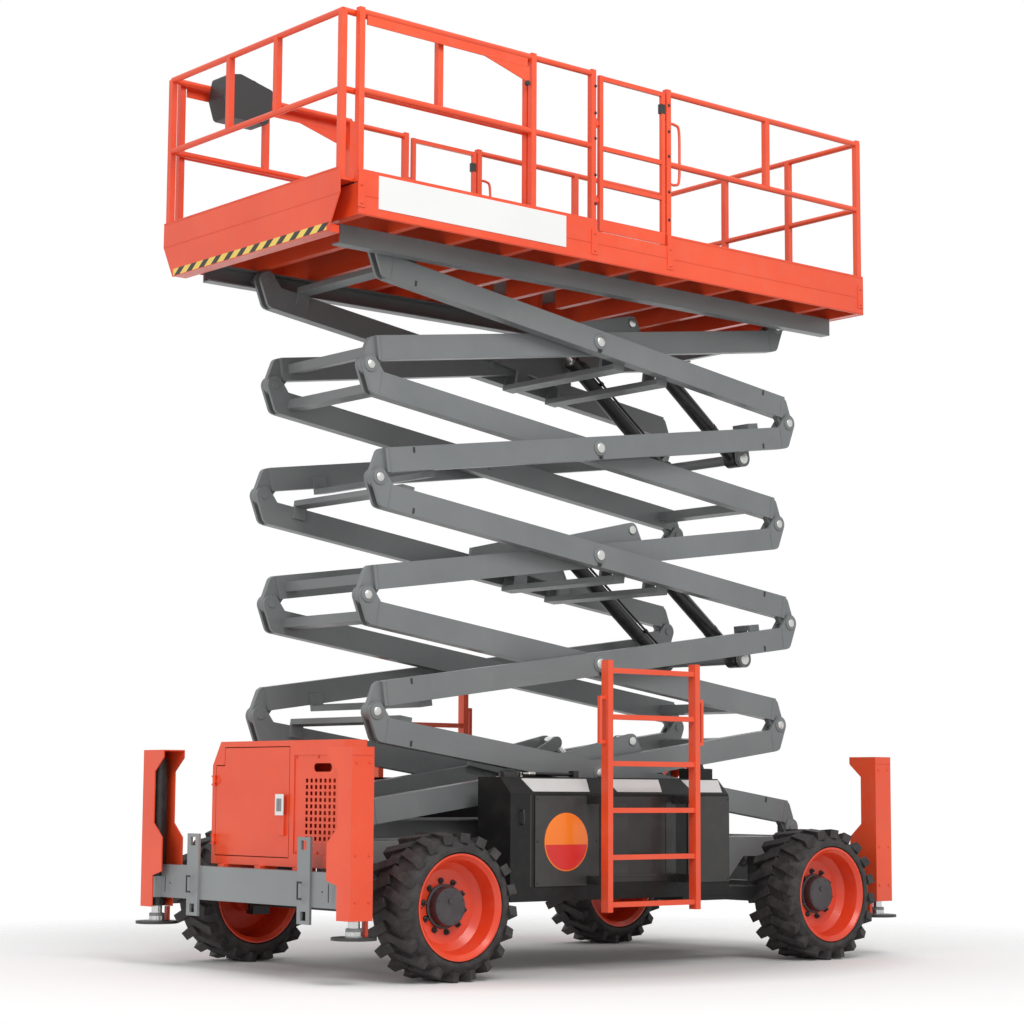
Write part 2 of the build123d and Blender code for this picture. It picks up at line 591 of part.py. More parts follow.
with BuildPart() as outrigger_towers:
    for _, end, side in CORNERS:
        for x in (end * (TOWER_X - TOWER_DEPTH / 2), end * (TOWER_X + TOWER_DEPTH / 2 - TOWER_WALL)):
            with BuildSketch(Plane.YZ.offset(x)):
                with BuildLine():
                    Polyline([(side * (TOWER_FACE - inward), z) for inward, z in TOWER_OUTLINE], close=True)
                make_face()
            extrude(amount=end * TOWER_WALL)
        outer = (end * (TOWER_X - TOWER_DEPTH / 2), end * (TOWER_X + TOWER_DEPTH / 2))
        slab(outer, (side * (TOWER_FACE - TOWER_WALL), side * TOWER_FACE), (TOWER_FOOT, TOWER_TOP))
        slab(outer, (side * (TOWER_FACE - TOWER_WIDE), side * TOWER_FACE),
             (TOWER_TOP - TOWER_WALL, TOWER_TOP))
save("outrigger_towers", outrigger_towers.part)

with BuildPart() as outrigger_jacks:
    for _, end, side in CORNERS:
        with BuildSketch(Plane.XY.offset(TOWER_FOOT + 4)):
            with Locations((end * TOWER_X, side * JACK_Y)):
                Circle(LEG_BORE_RADIUS)
                Circle(LEG_RADIUS + PIN_FIT, mode=Mode.SUBTRACT)
        extrude(amount=JACK_TOP - TOWER_FOOT - 4)
        # straps that hold the jack to the tower's outer plate
        for z in (TOWER_FOOT + 20, JACK_TOP - 60):
            with BuildSketch(Plane.XY.offset(z)):
                with Locations((end * TOWER_X, side * (TOWER_FACE - TOWER_WALL - 25))):
                    Rectangle(110, 50)
                with Locations((end * TOWER_X, side * JACK_Y)):
                    Circle(LEG_RADIUS + PIN_FIT, mode=Mode.SUBTRACT)
            extrude(amount=40)
save("outrigger_jacks", outrigger_jacks.part)

for label, end, side in CORNERS:
    with BuildPart() as leg:
        with BuildSketch(Plane.XY.offset(PAD_Z)):
            with Locations((end * TOWER_X, side * JACK_Y)):
                Circle(PAD_RADIUS)
        extrude(amount=PAD_THICKNESS)
        with BuildSketch(Plane.XY.offset(PAD_Z)):
            with Locations((end * TOWER_X, side * JACK_Y)):
                Circle(LEG_RADIUS)
        extrude(amount=ROD_TOP - PAD_Z)
        with BuildSketch(Plane.XY.offset(PAD_Z)):
            with Locations((end * TOWER_X, side * JACK_Y)):
                Circle(LEG_RADIUS + 14)
        extrude(amount=45)
    save(f"outrigger_leg_{label}", leg.part)


# ---------------------------------------------------------------- hinges
HINGE_PIN = 6.0
HINGE_KNUCKLE = 11.0
HINGE_LENGTH = 60.0
HINGE_TAB = 12.0
HINGE_STANDOFF = 14.0


def hinge_pin(x, y, z, tab_x, tab_y):
    """A hinge's pin at one height, and the two tabs that carry it on the frame."""
    with BuildSketch(Plane.XY.offset(z - HINGE_LENGTH / 2)) as profile:
        with Locations((x, y)):
            Circle(HINGE_PIN)
    extrude(profile.sketch, amount=HINGE_LENGTH)
    for low in (z - HINGE_LENGTH / 2, z + HINGE_LENGTH / 2 - HINGE_TAB):
        slab(tab_x, tab_y, (low, low + HINGE_TAB))


def hinge_knuckle(x, y, z, leaf_x, leaf_y):
    """The door's half of that hinge: a knuckle about the pin, and a leaf on the door."""
    height = HINGE_LENGTH - 2 * HINGE_TAB - 6
    slab(leaf_x, leaf_y, (z - height / 2, z + height / 2))
    for radius, mode in ((HINGE_KNUCKLE, Mode.ADD), (HINGE_PIN + PIN_FIT, Mode.SUBTRACT)):
        with BuildSketch(Plane.XY.offset(z - height / 2)) as profile:
            with Locations((x, y)):
                Circle(radius)
        extrude(profile.sketch, amount=height, mode=mode)


# ---------------------------------------------------------------- front cabinet
def cabinet_outline(inset):
    """The cabinet's front view, with its far top corner cut off, drawn `inset` smaller."""
    return [(CABINET_Y[0] + inset, CABINET_Z[0] + inset), (CABINET_Y[1] - inset, CABINET_Z[0] + inset),
            (CABINET_Y[1] - inset, CABINET_Z[1] - inset),
            (CABINET_Y[0] + 85 + inset * 0.6, CABINET_Z[1] - inset),
            (CABINET_Y[0] + inset, CABINET_Z[1] - 140 - inset * 0.6)]


GRILLE_Y = (310.0, 760.0)
GRILLE_Z = (690.0, 1245.0)
GRILLE_PITCH = (44.0, 36.0)
GRILLE_CENTRE = (560.0, 940.0)
cabinet_hinge = (CABINET_X[1] + HINGE_STANDOFF, CABINET_DOOR_Y[0] - DOOR_GAP / 2)
cabinet_hinge_z = (CABINET_DOOR_Z[0] + 90, CABINET_DOOR_Z[1] - 190)

with BuildPart() as front_cabinet:
    for inset, mode in ((0.0, Mode.ADD), (CABINET_WALL, Mode.SUBTRACT)):
        with BuildSketch(Plane.YZ.offset(CABINET_X[0] + inset)):
            with BuildLine():
                Polyline(cabinet_outline(inset), close=True)
            make_face()
        extrude(amount=CABINET_X[1] - CABINET_X[0] - 2 * inset, mode=mode)
    front = (CABINET_X[1] - 2 * CABINET_WALL, CABINET_X[1] + 1)
    slab_cut(front, (CABINET_DOOR_Y[0] - DOOR_GAP, CABINET_DOOR_Y[1] + DOOR_GAP),
             (CABINET_DOOR_Z[0] - DOOR_GAP, CABINET_DOOR_Z[1] - 100))
    slab_cut(front, (CABINET_DOOR_Y[0] + 85, CABINET_DOOR_Y[1] + DOOR_GAP),
             (CABINET_DOOR_Z[0], CABINET_DOOR_Z[1] + DOOR_GAP))
    slab_cut(front, GRILLE_Y, GRILLE_Z)
    for z in cabinet_hinge_z:
        hinge_pin(*cabinet_hinge, z, (CABINET_X[1], cabinet_hinge[0] + HINGE_PIN),
                  (cabinet_hinge[1] - 20, cabinet_hinge[1]))
    # feet down to the bumper
    for y in (-380.0, 0.0, 380.0):
        slab((CABINET_X[1] - 90, BEAM_END), (y - 30, y + 30), (CABINET_Z[0] - 40, CABINET_Z[0]))
save("front_cabinet", front_cabinet.part)

with BuildPart() as cabinet_door:
    slab((CABINET_X[1] - CABINET_WALL, CABINET_X[1]), CABINET_DOOR_Y,
         (CABINET_DOOR_Z[0], CABINET_DOOR_Z[1] - 105))
    slab((CABINET_X[1] - CABINET_WALL, CABINET_X[1]), (CABINET_DOOR_Y[0] + 90, CABINET_DOOR_Y[1]),
         (CABINET_DOOR_Z[1] - 106, CABINET_DOOR_Z[1]))
    for z in cabinet_hinge_z:
        hinge_knuckle(*cabinet_hinge, z, (CABINET_X[1], CABINET_X[1] + 5),
                      (cabinet_hinge[1], CABINET_DOOR_Y[0] + 40))
    slab((CABINET_X[1], CABINET_X[1] + 14), (CABINET_DOOR_Y[1] - 90, CABINET_DOOR_Y[1] - 30), (790.0, 910.0))
save("cabinet_door", cabinet_door.part)

with BuildPart() as cabinet_grille:
    slab((CABINET_X[1] - CABINET_WALL - 3, CABINET_X[1] - CABINET_WALL), (GRILLE_Y[0] - 12, GRILLE_Y[1] + 12),
         (GRILLE_Z[0] - 12, GRILLE_Z[1] + 12))
    with BuildSketch(Plane.YZ.offset(CABINET_X[1] - 2 * CABINET_WALL)):
        with Locations(GRILLE_CENTRE):
            with GridLocations(*GRILLE_PITCH, *GRILLE_COUNT):
                Rectangle(GRILLE_HOLE, GRILLE_HOLE)
        with Locations((GRILLE_CENTRE[0] + 20, GRILLE_Z[1] - 70)):
            SlotOverall(170, 48)
    extrude(amount=3 * CABINET_WALL, mode=Mode.SUBTRACT)
save("cabinet_grille", cabinet_grille.part)


# ---------------------------------------------------------------- side pods
ENGINE_SIZE = (620.0, 240.0, 480.0)
pod_hinge_x = POD_DOOR_X[1] + DOOR_GAP / 2
pod_hinge_y = -(POD_Y[1] + HINGE_STANDOFF)
pod_hinge_z = (POD_DOOR_Z[0] + 90, POD_DOOR_Z[1] - 90)


def pod_outline(side, inset):
    """The pod's end view: a tray with its outer top edge cut back as a shoulder."""
    points = [(POD_Y[0] + inset, POD_Z[0] + inset), (POD_Y[1] - inset, POD_Z[0] + inset),
              (POD_Y[1] - inset, POD_Z[1] - POD_SHOULDER - inset * 0.4),
              (POD_Y[1] - POD_SHOULDER - inset * 0.4, POD_Z[1] - inset), (POD_Y[0] + inset, POD_Z[1] - inset)]
    return [(side * y, z) for y, z in points]


for label, side in SIDES:
    wall = (side * (POD_Y[1] - 2 * POD_WALL), side * (POD_Y[1] + 1))
    with BuildPart() as pod:
        for inset, mode in ((0.0, Mode.ADD), (POD_WALL, Mode.SUBTRACT)):
            with BuildSketch(Plane.YZ.offset(POD_X[0] + inset)):
                with BuildLine():
                    Polyline(pod_outline(side, inset), close=True)
                make_face()
            extrude(amount=POD_X[1] - POD_X[0] - 2 * inset, mode=mode)
        if side < 0:
            slab_cut((POD_DOOR_X[0] - DOOR_GAP, POD_DOOR_X[1] + DOOR_GAP), wall,
                     (POD_DOOR_Z[0] - DOOR_GAP, POD_DOOR_Z[1] + DOOR_GAP))
            for z in pod_hinge_z:
                hinge_pin(pod_hinge_x, pod_hinge_y, z, (pod_hinge_x, pod_hinge_x + 20),
                          (-POD_Y[1], pod_hinge_y - HINGE_PIN))
        else:
            # a bolted cover stands proud of the near pod
            slab(COVER_X, (POD_Y[1], POD_Y[1] + COVER_PLATE), POD_DOOR_Z)
        # brackets to the side beam
        for x in (-600.0, 200.0, 900.0):
            slab((x - 40, x + 40), (side * BEAM_FACE, side * POD_Y[0]), (BEAM_BOTTOM + 40, BEAM_TOP - 40))
    save(f"side_pod_{label}", pod.part)

with BuildPart() as pod_door:
    slab(POD_DOOR_X, (-POD_Y[1], -POD_Y[1] + POD_WALL), POD_DOOR_Z)
    for z in pod_hinge_z:
        hinge_knuckle(pod_hinge_x, pod_hinge_y, z, (POD_DOOR_X[1] - 40, pod_hinge_x),
                      (-POD_Y[1] - 5, -POD_Y[1]))
save("engine_door", pod_door.part)

with BuildPart() as engine_block:
    with Locations((sum(POD_DOOR_X) / 2 - 70, -sum(POD_Y) / 2, POD_Z[0] + POD_WALL + ENGINE_SIZE[2] / 2)):
        Box(*ENGINE_SIZE)
save("engine_block", engine_block.part)

with BuildPart() as ground_controls:
    slab((-760.0, -570.0), (POD_Y[1] - POD_SHOULDER - 110, POD_Y[1] - POD_SHOULDER - 5),
         (POD_Z[1], POD_Z[1] + 62))
save("ground_controls", ground_controls.part)


# ---------------------------------------------------------------- ladders
for label, side in SIDES:
    outer = side * LADDER_FACE
    inner = side * (LADDER_FACE - LADDER_RAIL[1])
    with BuildPart() as ladder:
        for outward in (-1, 1):
            x = LADDER_X + outward * LADDER_WIDTH / 2
            slab((x - LADDER_RAIL[0] / 2, x + LADDER_RAIL[0] / 2), (inner, outer), LADDER_Z)
            pod_face = side * (POD_Y[1] + COVER_PLATE if outward * side > 0 else POD_Y[1])
            for z in (POD_Z[0] + 90, POD_Z[1] - POD_SHOULDER - 60):
                slab((x - 18, x + 18), (pod_face, inner), (z, z + 50))
            grip = (x + outward * (LADDER_RAIL[0] / 2 - 1), x + outward * 70)
            grip_y = (outer - side * 40, outer - side * 20)
            for z in (1330.0, 1590.0):
                slab(grip, grip_y, (z, z + 20))
            slab((grip[1], grip[1] - outward * 20), grip_y, (1330.0, 1610.0))
        for step in range(RUNG_COUNT):
            z = RUNG_Z + step * RUNG_PITCH
            slab((LADDER_X - LADDER_WIDTH / 2, LADDER_X + LADDER_WIDTH / 2),
                 (outer - side * 52, outer - side * 8), (z - 15, z + 15))
    save(f"ladder_{label}", ladder.part)


# ---------------------------------------------------------------- platform
TOP_TRACK_IN = OUTER_ARM_FACE + 7
TOP_TRACK_OUT = OUTER_ARM_FACE + 12 + ROLLER_WIDTH + 17
TOP_TRACK_FLOOR = TOP_PIN_Z - TOP_ROLLER_RADIUS - 0.5
JOIST_BOTTOM = TOP_PIN_Z + JOIST_RISE[0]
JOIST_TOP = TOP_PIN_Z + JOIST_RISE[1]
FASCIA_BOTTOM = TOP_PIN_Z + FASCIA_RISE[0]
FASCIA_TOP = TOP_PIN_Z + FASCIA_RISE[1]
JOIST_COUNT = 9

with BuildPart() as platform_tracks:
    for _, side in SIDES:
        track_y = (side * TOP_TRACK_IN, side * TOP_TRACK_OUT)
        length = (PLATFORM_X[0] + 60, PLATFORM_X[1] - 60)
        slab(length, (side * (TOP_TRACK_OUT - TRACK_WALL), side * TOP_TRACK_OUT),
             (TOP_TRACK_FLOOR - TRACK_WALL, JOIST_BOTTOM))
        slab(length, track_y, (TOP_TRACK_FLOOR - TRACK_WALL, TOP_TRACK_FLOOR))
        slab(length, track_y, (JOIST_BOTTOM - TRACK_WALL, JOIST_BOTTOM))
save("platform_tracks", platform_tracks.part)

JOIST_X = [REAR_PIN_X + index * JOIST_PITCH for index in range(JOIST_COUNT)]
HEAD_BAY_X = (-470.0, 35.0)        # where the cylinders' heads rise between the joists
HEAD_BAY_Y = (262.0, 452.0)

with BuildPart() as platform_joists:
    for x in JOIST_X + [PLATFORM_X[0] + 40, PLATFORM_X[1] - 40]:
        slab((x - JOIST_WIDTH / 2, x + JOIST_WIDTH / 2),
             (-PLATFORM_FACE + FASCIA_PLATE, PLATFORM_FACE - FASCIA_PLATE), (JOIST_BOTTOM, JOIST_TOP))
    for _, side in SIDES:
        slab_cut(HEAD_BAY_X, (side * HEAD_BAY_Y[0], side * HEAD_BAY_Y[1]), (JOIST_BOTTOM - 1, JOIST_TOP + 1))
        # lugs on the rearmost full joist for the inner arms' upper pins
        tongue = FORK_PLATE + FORK_GAP
        plate = (side * (INNER_ARM_FACE - ARM_WIDTH + tongue), side * (INNER_ARM_FACE - tongue))
        slab((REAR_PIN_X - LUG_RADIUS, REAR_PIN_X + LUG_RADIUS), plate, (TOP_PIN_Z, JOIST_BOTTOM + 5))
        cross_bar(REAR_PIN_X, (min(plate), max(plate)), TOP_PIN_Z, LUG_RADIUS)
        cross_bar(REAR_PIN_X, (min(plate) - 1, max(plate) + 1), TOP_PIN_Z, PIN_RADIUS + PIN_FIT,
                  Mode.SUBTRACT)
save("platform_joists", platform_joists.part)

with BuildPart() as platform_fascia:
    for _, side in SIDES:
        slab(PLATFORM_X, (side * (PLATFORM_FACE - FASCIA_PLATE), side * PLATFORM_FACE),
             (FASCIA_BOTTOM, FASCIA_TOP))
    for rear, front, top in ((PLATFORM_X[0], PLATFORM_X[0] + FASCIA_PLATE, FASCIA_TOP),
                             (PLATFORM_X[1] - FASCIA_PLATE, PLATFORM_X[1], JOIST_TOP)):
        slab((rear, front), (-PLATFORM_FACE, PLATFORM_FACE), (FASCIA_BOTTOM, top))
    # open at the gates, down to the floor
    slab_cut((GATE_POSTS[1] + POST_SIZE / 2, GATE_POSTS[0] - POST_SIZE / 2),
             (-PLATFORM_FACE - 1, PLATFORM_FACE + 1), (DECK_TOP, FASCIA_TOP + 1))
save("platform_fascia", platform_fascia.part)

RUNNER_REAR_X = (830.0, 930.0)
RUNNER_FRONT_X = (2040.0, 2120.0)
ROLLOUT_Z = DECK_TOP + 5

with BuildPart() as platform_deck:
    slab((PLATFORM_X[0] + FASCIA_PLATE, PLATFORM_X[1] - FASCIA_PLATE),
         (-PLATFORM_FACE + FASCIA_PLATE, PLATFORM_FACE - FASCIA_PLATE), (JOIST_TOP, DECK_TOP))
    for _, side in SIDES:
        slab(RUNNER_FRONT_X, (side * 820, side * 890), (DECK_TOP - 1, ROLLOUT_Z - 0.3))
save("platform_deck", platform_deck.part)

RAIL_Z = TOP_PIN_Z + RAIL_TOP - RAIL_RADIUS
MID_Z = TOP_PIN_Z + RAIL_MID
GATE_CLEAR = 6.0
CATCH_STRIP_X = (880.0, 2080.0)
gate_hinge_x = GATE_POSTS[0] - POST_SIZE / 2 - GATE_STANDOFF
gate_hinge_z = (DECK_TOP + 200, MID_Z + 150)
RAIL_Y = PLATFORM_FACE - FASCIA_PLATE - POST_SIZE / 2
REAR_RAIL_X = PLATFORM_X[0] + FASCIA_PLATE + POST_SIZE / 2
FULL_POSTS = (PLATFORM_X[1] - POST_SIZE / 2, 835.0, GATE_POSTS[0], GATE_POSTS[1], REAR_RAIL_X)
HALF_POSTS = (-1190.0,)


def rail_along(x, y, z, radius=RAIL_RADIUS):
    """A round rail along X between two distances, at one y and z."""
    with BuildSketch(Plane.YZ.offset(min(x))) as profile:
        with Locations((y, z)):
            Circle(radius)
    extrude(profile.sketch, amount=abs(x[1] - x[0]))


def post(x, y, z):
    """A square post."""
    half = POST_SIZE / 2
    slab((x - half, x + half), (y - half, y + half), z)


for label, side in SIDES:
    y = side * RAIL_Y
    with BuildPart() as rail:
        for x in FULL_POSTS:
            post(x, y, (DECK_TOP, RAIL_Z))
        for x in HALF_POSTS:
            post(x, y, (MID_Z, RAIL_Z))
        for run in ((REAR_RAIL_X, GATE_POSTS[1]), (GATE_POSTS[0], PLATFORM_X[1] - POST_SIZE / 2)):
            for z in (RAIL_Z, MID_Z):
                rail_along(run, y, z)
        # the pins that the gate swings on
        for z in gate_hinge_z:
            hinge_pin(gate_hinge_x, y, z, (gate_hinge_x, GATE_POSTS[0] - POST_SIZE / 2), (y - 6, y + 6))
        # strip that the roll-out deck's catch runs along
        slab(CATCH_STRIP_X, (y + side * 2, y + side * 10), (RAIL_Z - 70, RAIL_Z - 10))
    save(f"guard_rail_{label}", rail.part)

with BuildPart() as guard_rail_rear:
    reach = RAIL_Y - POST_SIZE / 2
    for z in (RAIL_Z, MID_Z):
        cross_bar(REAR_RAIL_X, (-reach, reach), z, RAIL_RADIUS)
    for y in (-310.0, 310.0):
        post(REAR_RAIL_X, y, (DECK_TOP, RAIL_Z))
save("guard_rail_rear", guard_rail_rear.part)

GATE_X = (GATE_POSTS[1] + POST_SIZE / 2 + GATE_CLEAR, gate_hinge_x - 16)
for label, side in SIDES:
    y = side * RAIL_Y
    with BuildPart() as gate:
        for x in (GATE_X[0] + 15, GATE_X[1] - 15):
            slab((x - 15, x + 15), (y - 12, y + 12), (DECK_TOP + 8, RAIL_Z))
        for z in (RAIL_Z - 15, MID_Z, TOP_PIN_Z + 565):
            slab((GATE_X[0] + 20, GATE_X[1] - 20), (y - 11, y + 11), (z - 14, z + 14))
        slab(GATE_X, (y + side * 6, y + side * 12), (DECK_TOP + 8, DECK_TOP + 85))
        for z in gate_hinge_z:
            hinge_knuckle(gate_hinge_x, y, z, (GATE_X[1] - 4, gate_hinge_x), (y - 5, y + 5))
    save(f"gate_{label}", gate.part)

PANEL_OUTLINE = (                  # half width; height above the top pins
    (812.0, -15.0), (920.0, 185.0), (918.0, 335.0))
with BuildPart() as rollout_deck:
    slab((ROLLOUT_REAR, ROLLOUT_FRONT - 8), (-ROLLOUT_FACE, ROLLOUT_FACE), (ROLLOUT_Z, ROLLOUT_Z + 16))
    with BuildSketch(Plane.YZ.offset(ROLLOUT_FRONT - 8)):
        with BuildLine():
            Polyline(*[(y, TOP_PIN_Z + z) for y, z in PANEL_OUTLINE],
                     *[(-y, TOP_PIN_Z + z) for y, z in reversed(PANEL_OUTLINE)], close=True)
        make_face()
    extrude(amount=8)
    slab((ROLLOUT_FRONT - 90, ROLLOUT_FRONT - 8), (-800.0, 800.0), (TOP_PIN_Z - 15, TOP_PIN_Z + 30))
    # runners that slide on the platform's floor
    for _, side in SIDES:
        slab(RUNNER_REAR_X, (side * 700, side * 790), (DECK_TOP + 0.3, ROLLOUT_Z + 1))
save("rollout_deck", rollout_deck.part)

ROLLOUT_POST_Y = RAIL_Y - POST_SIZE - 8
ROLLOUT_POSTS_Y = (250.0, -250.0)  # short posts between the front rails
with BuildPart() as rollout_rails:
    front_x = ROLLOUT_FRONT - 8 - POST_SIZE / 2
    for _, side in SIDES:
        y = side * ROLLOUT_POST_Y
        post(front_x, y, (ROLLOUT_Z + 16, RAIL_Z))
        post(ROLLOUT_REAR + 20, y, (ROLLOUT_Z + 16, RAIL_Z))
        post((front_x + ROLLOUT_REAR) / 2, y, (MID_Z, RAIL_Z))
        for z in (RAIL_Z, MID_Z):
            rail_along((ROLLOUT_REAR + 20, front_x), y, z)
    for z in (RAIL_Z, MID_Z):
        cross_bar(front_x, (-ROLLOUT_POST_Y, ROLLOUT_POST_Y), z, RAIL_RADIUS)
    for y in ROLLOUT_POSTS_Y:
        post(front_x, y, (MID_Z, RAIL_Z))
save("rollout_rails", rollout_rails.part)

CONSOLE_OUTLINE = (                # along X from the console's middle; height above the top rail
    (-150.0, -215.0), (150.0, -215.0), (190.0, -90.0), (165.0, 55.0), (60.0, 75.0), (-190.0, 10.0))
CONSOLE_X = 1775.0
CONSOLE_WIDTH = 170.0
with BuildPart() as platform_controls:
    face = ROLLOUT_POST_Y - POST_SIZE / 2
    with BuildSketch(Plane.XZ.offset(face - CONSOLE_WIDTH)) as profile:
        with BuildLine():
            Polyline([(CONSOLE_X + x, RAIL_Z + z) for x, z in CONSOLE_OUTLINE], close=True)
        make_face()
        fillet(profile.vertices(), 28)
    extrude(profile.sketch, amount=CONSOLE_WIDTH)
save("platform_controls", platform_controls.part)
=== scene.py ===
# %% [markdown]
# # A rough-terrain scissor lift
#
# The machine's solids come ready made from the frame, at their real size and place. This
# notebook gives them their paint, rubber and steel, then adds what is too fine for the
# solids: bolts, pin caps, pipes, latches, plates and stripes. Everything is in metres,
# with +X forward, +Y to the machine's left and +Z up.

# %% Load the frame
import math

import bmesh
import bpy
from mathutils import Matrix, Vector


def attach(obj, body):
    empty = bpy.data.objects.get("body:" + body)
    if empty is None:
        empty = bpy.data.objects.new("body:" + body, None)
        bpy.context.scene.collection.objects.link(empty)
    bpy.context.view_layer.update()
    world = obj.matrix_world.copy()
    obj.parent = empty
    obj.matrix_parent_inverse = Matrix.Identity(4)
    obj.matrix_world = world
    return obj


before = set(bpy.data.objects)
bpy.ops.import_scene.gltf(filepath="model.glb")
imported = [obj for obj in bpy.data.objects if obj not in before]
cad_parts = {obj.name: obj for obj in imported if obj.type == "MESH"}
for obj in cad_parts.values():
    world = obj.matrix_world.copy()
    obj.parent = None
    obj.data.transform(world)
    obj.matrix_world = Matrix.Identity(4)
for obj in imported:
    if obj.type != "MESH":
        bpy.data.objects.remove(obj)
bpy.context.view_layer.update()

scene = bpy.context.scene
scene.view_settings.view_transform = "Standard"

# %% [markdown]
# ## Shader maths in plain Python
#
# A material is a graph of nodes, and sums made of nodes are hard to read. The nodes could
# be set out by hand in Blender's editor, but a small class that wraps one socket lets
# `1 - mask * 0.3` add the Math nodes by itself, and the sum stays readable. One method,
# `node`, adds every other node: its type, its settings, then its sockets.

# %% A socket that does sums, and a material that holds them
class Wire:
    """One output socket. Sums with it add Math nodes to its graph."""

    def __init__(self, graph, socket):
        self.graph = graph
        self.socket = socket

    def sum(self, operation, first, second):
        return self.graph.node("ShaderNodeMath", {"operation": operation}, {0: first, 1: second})

    def __add__(self, other):
        return self.sum("ADD", self, other)

    def __radd__(self, other):
        return self.sum("ADD", other, self)

    def __sub__(self, other):
        return self.sum("SUBTRACT", self, other)

    def __rsub__(self, other):
        return self.sum("SUBTRACT", other, self)

    def __mul__(self, other):
        return self.sum("MULTIPLY", self, other)

    def __rmul__(self, other):
        return self.sum("MULTIPLY", other, self)

    def above(self, threshold):
        return self.sum("GREATER_THAN", self, threshold)

    def or_else(self, other):
        return self.sum("MAXIMUM", self, other)


class Graph:
    """A tree of shader nodes, of a material or of the world."""

    def __init__(self, tree):
        self.tree = tree

    def join(self, socket, value):
        """Links a wire to a socket, or sets the socket to a plain value."""
        if isinstance(value, Wire):
            self.tree.links.new(value.socket, socket)
        else:
            socket.default_value = value

    def node(self, kind, settings=None, sockets=None, out=0):
        """Adds a node: its type, its settings, then the values or links of its sockets."""
        made = self.tree.nodes.new(kind)
        for key, value in (settings or {}).items():
            if key == "stops":
                ramp = made.color_ramp
                while len(ramp.elements) < len(value):
                    ramp.elements.new(0.5)
                for element, (place, colour) in zip(ramp.elements, value):
                    element.position, element.color = place, colour
            else:
                setattr(made, key, value)
        for key, value in (sockets or {}).items():
            self.join(made.inputs[key], value)
        return Wire(self, made.outputs[out])


class Finish(Graph):
    """A material made of nodes, around one Principled shader."""

    def __init__(self, name):
        self.material = bpy.data.materials.new(name)
        self.material.use_nodes = True
        super().__init__(self.material.node_tree)

    def set(self, sockets):
        """Sets the shader's own sockets and gives the material."""
        shader = self.tree.nodes["Principled BSDF"]
        for key, value in sockets.items():
            self.join(shader.inputs[key], value)
        return self.material

    def place(self):
        return self.node("ShaderNodeTexCoord", out="Object")

    def along(self, axis):
        """The place along one axis: 0 is X, 1 is Y and 2 is Z."""
        return self.node("ShaderNodeSeparateXYZ", {}, {0: self.place()}, out=axis)

    def noise(self, scale, detail=3.0, rough=0.5):
        return self.node("ShaderNodeTexNoise", {}, {
            "Vector": self.place(), "Scale": scale, "Detail": detail, "Roughness": rough})

    def ramp(self, value, *stops):
        """Turns a value into a grey level; a stop is a value and its level."""
        grey = [(place, (level, level, level, 1)) for place, level in stops]
        return self.node("ShaderNodeValToRGB", {"stops": grey}, {"Fac": value})

    def mix(self, mask, first, second):
        return self.node("ShaderNodeMix", {"data_type": "RGBA"}, {0: mask, 6: first, 7: second}, out=2)

    def bump(self, height, distance, strength, edge):
        """Fine relief over corners that are softened by a radius."""
        softened = self.node("ShaderNodeBevel", {"samples": 4}, {"Radius": edge})
        return self.node("ShaderNodeBump", {}, {
            "Height": height, "Distance": distance, "Strength": strength, "Normal": softened})


def rgb(red, green, blue):
    """A colour as a socket takes it, with full alpha."""
    return (red, green, blue, 1.0)


def shade(colour, factor):
    """The same colour, lighter or darker."""
    return rgb(*[channel * factor for channel in colour[:3]])


print("shader sums ready")


# %% [markdown]
# ## Paint
#
# Sprayed enamel on welded steel is never one flat colour. It has a faint orange-peel
# ripple, cloudy changes of tone where the coat is thicker, and a film of dust in the
# parts that nobody wipes. Painted image maps could show this, but they would have to be
# unwrapped on every solid. Noise at three scales needs no unwrapping and has no seams. A
# Bevel node softens the sharp corners, which catches light as real folded steel does.

# %% Painted steel
DUST = rgb(0.36, 0.33, 0.30)
# Plain black for painted shade, used on the ladder's inner parts.
PAINTED_SHADE_BLACK = rgb(0.016, 0.016, 0.016)


def enamel(name, colour, deep, gloss=0.32, dust=0.10, edge=0.003, painted_shade_within=None,
           coat=0.20, shine=0.45):
    """Sprayed enamel: colour, the tone where the coat is thick, roughness, dust, the radius
    that softens an edge, clear coat and shine. Given a distance for painted shade, whatever
    lies nearer to the machine's middle plane than that is painted shade in plain black."""
    finish = Finish(name)
    cloud = finish.ramp(finish.noise(1.7, 4.0), (0.35, 0.0), (0.68, 1.0))
    film = finish.ramp(finish.noise(9.0, 6.0, 0.65), (0.48, 0.0), (0.80, 1.0))
    tone = finish.mix(cloud, colour, deep)
    # Painted shade: plain black on whatever lies nearer to the middle plane than the given distance.
    if painted_shade_within:
        across = finish.along(1)
        tone = finish.mix((across * across).above(painted_shade_within ** 2), PAINTED_SHADE_BLACK, tone)
    peel = finish.noise(420.0, 1.0)
    return finish.set({
        "Base Color": finish.mix(film * dust, tone, DUST),
        "Roughness": gloss + film * 0.18 + cloud * 0.05,
        "Coat Weight": coat,
        "Coat Roughness": 0.12,
        "Specular IOR Level": shine,
        "Normal": finish.bump(peel, 0.00012, 0.5, edge),
    })


print("enamel ready")

# %% [markdown]
# The machine wears one orange, a few greys and several blacks. Each paint has two tones
# close together for the cloudy changes. The ladder is one solid, orange with painted shade:
# its parts nearer to the middle plane than its outer side are painted black, so its colour
# changes with the distance from the middle plane.

# %% The paints
from_frame = len(bpy.data.materials)

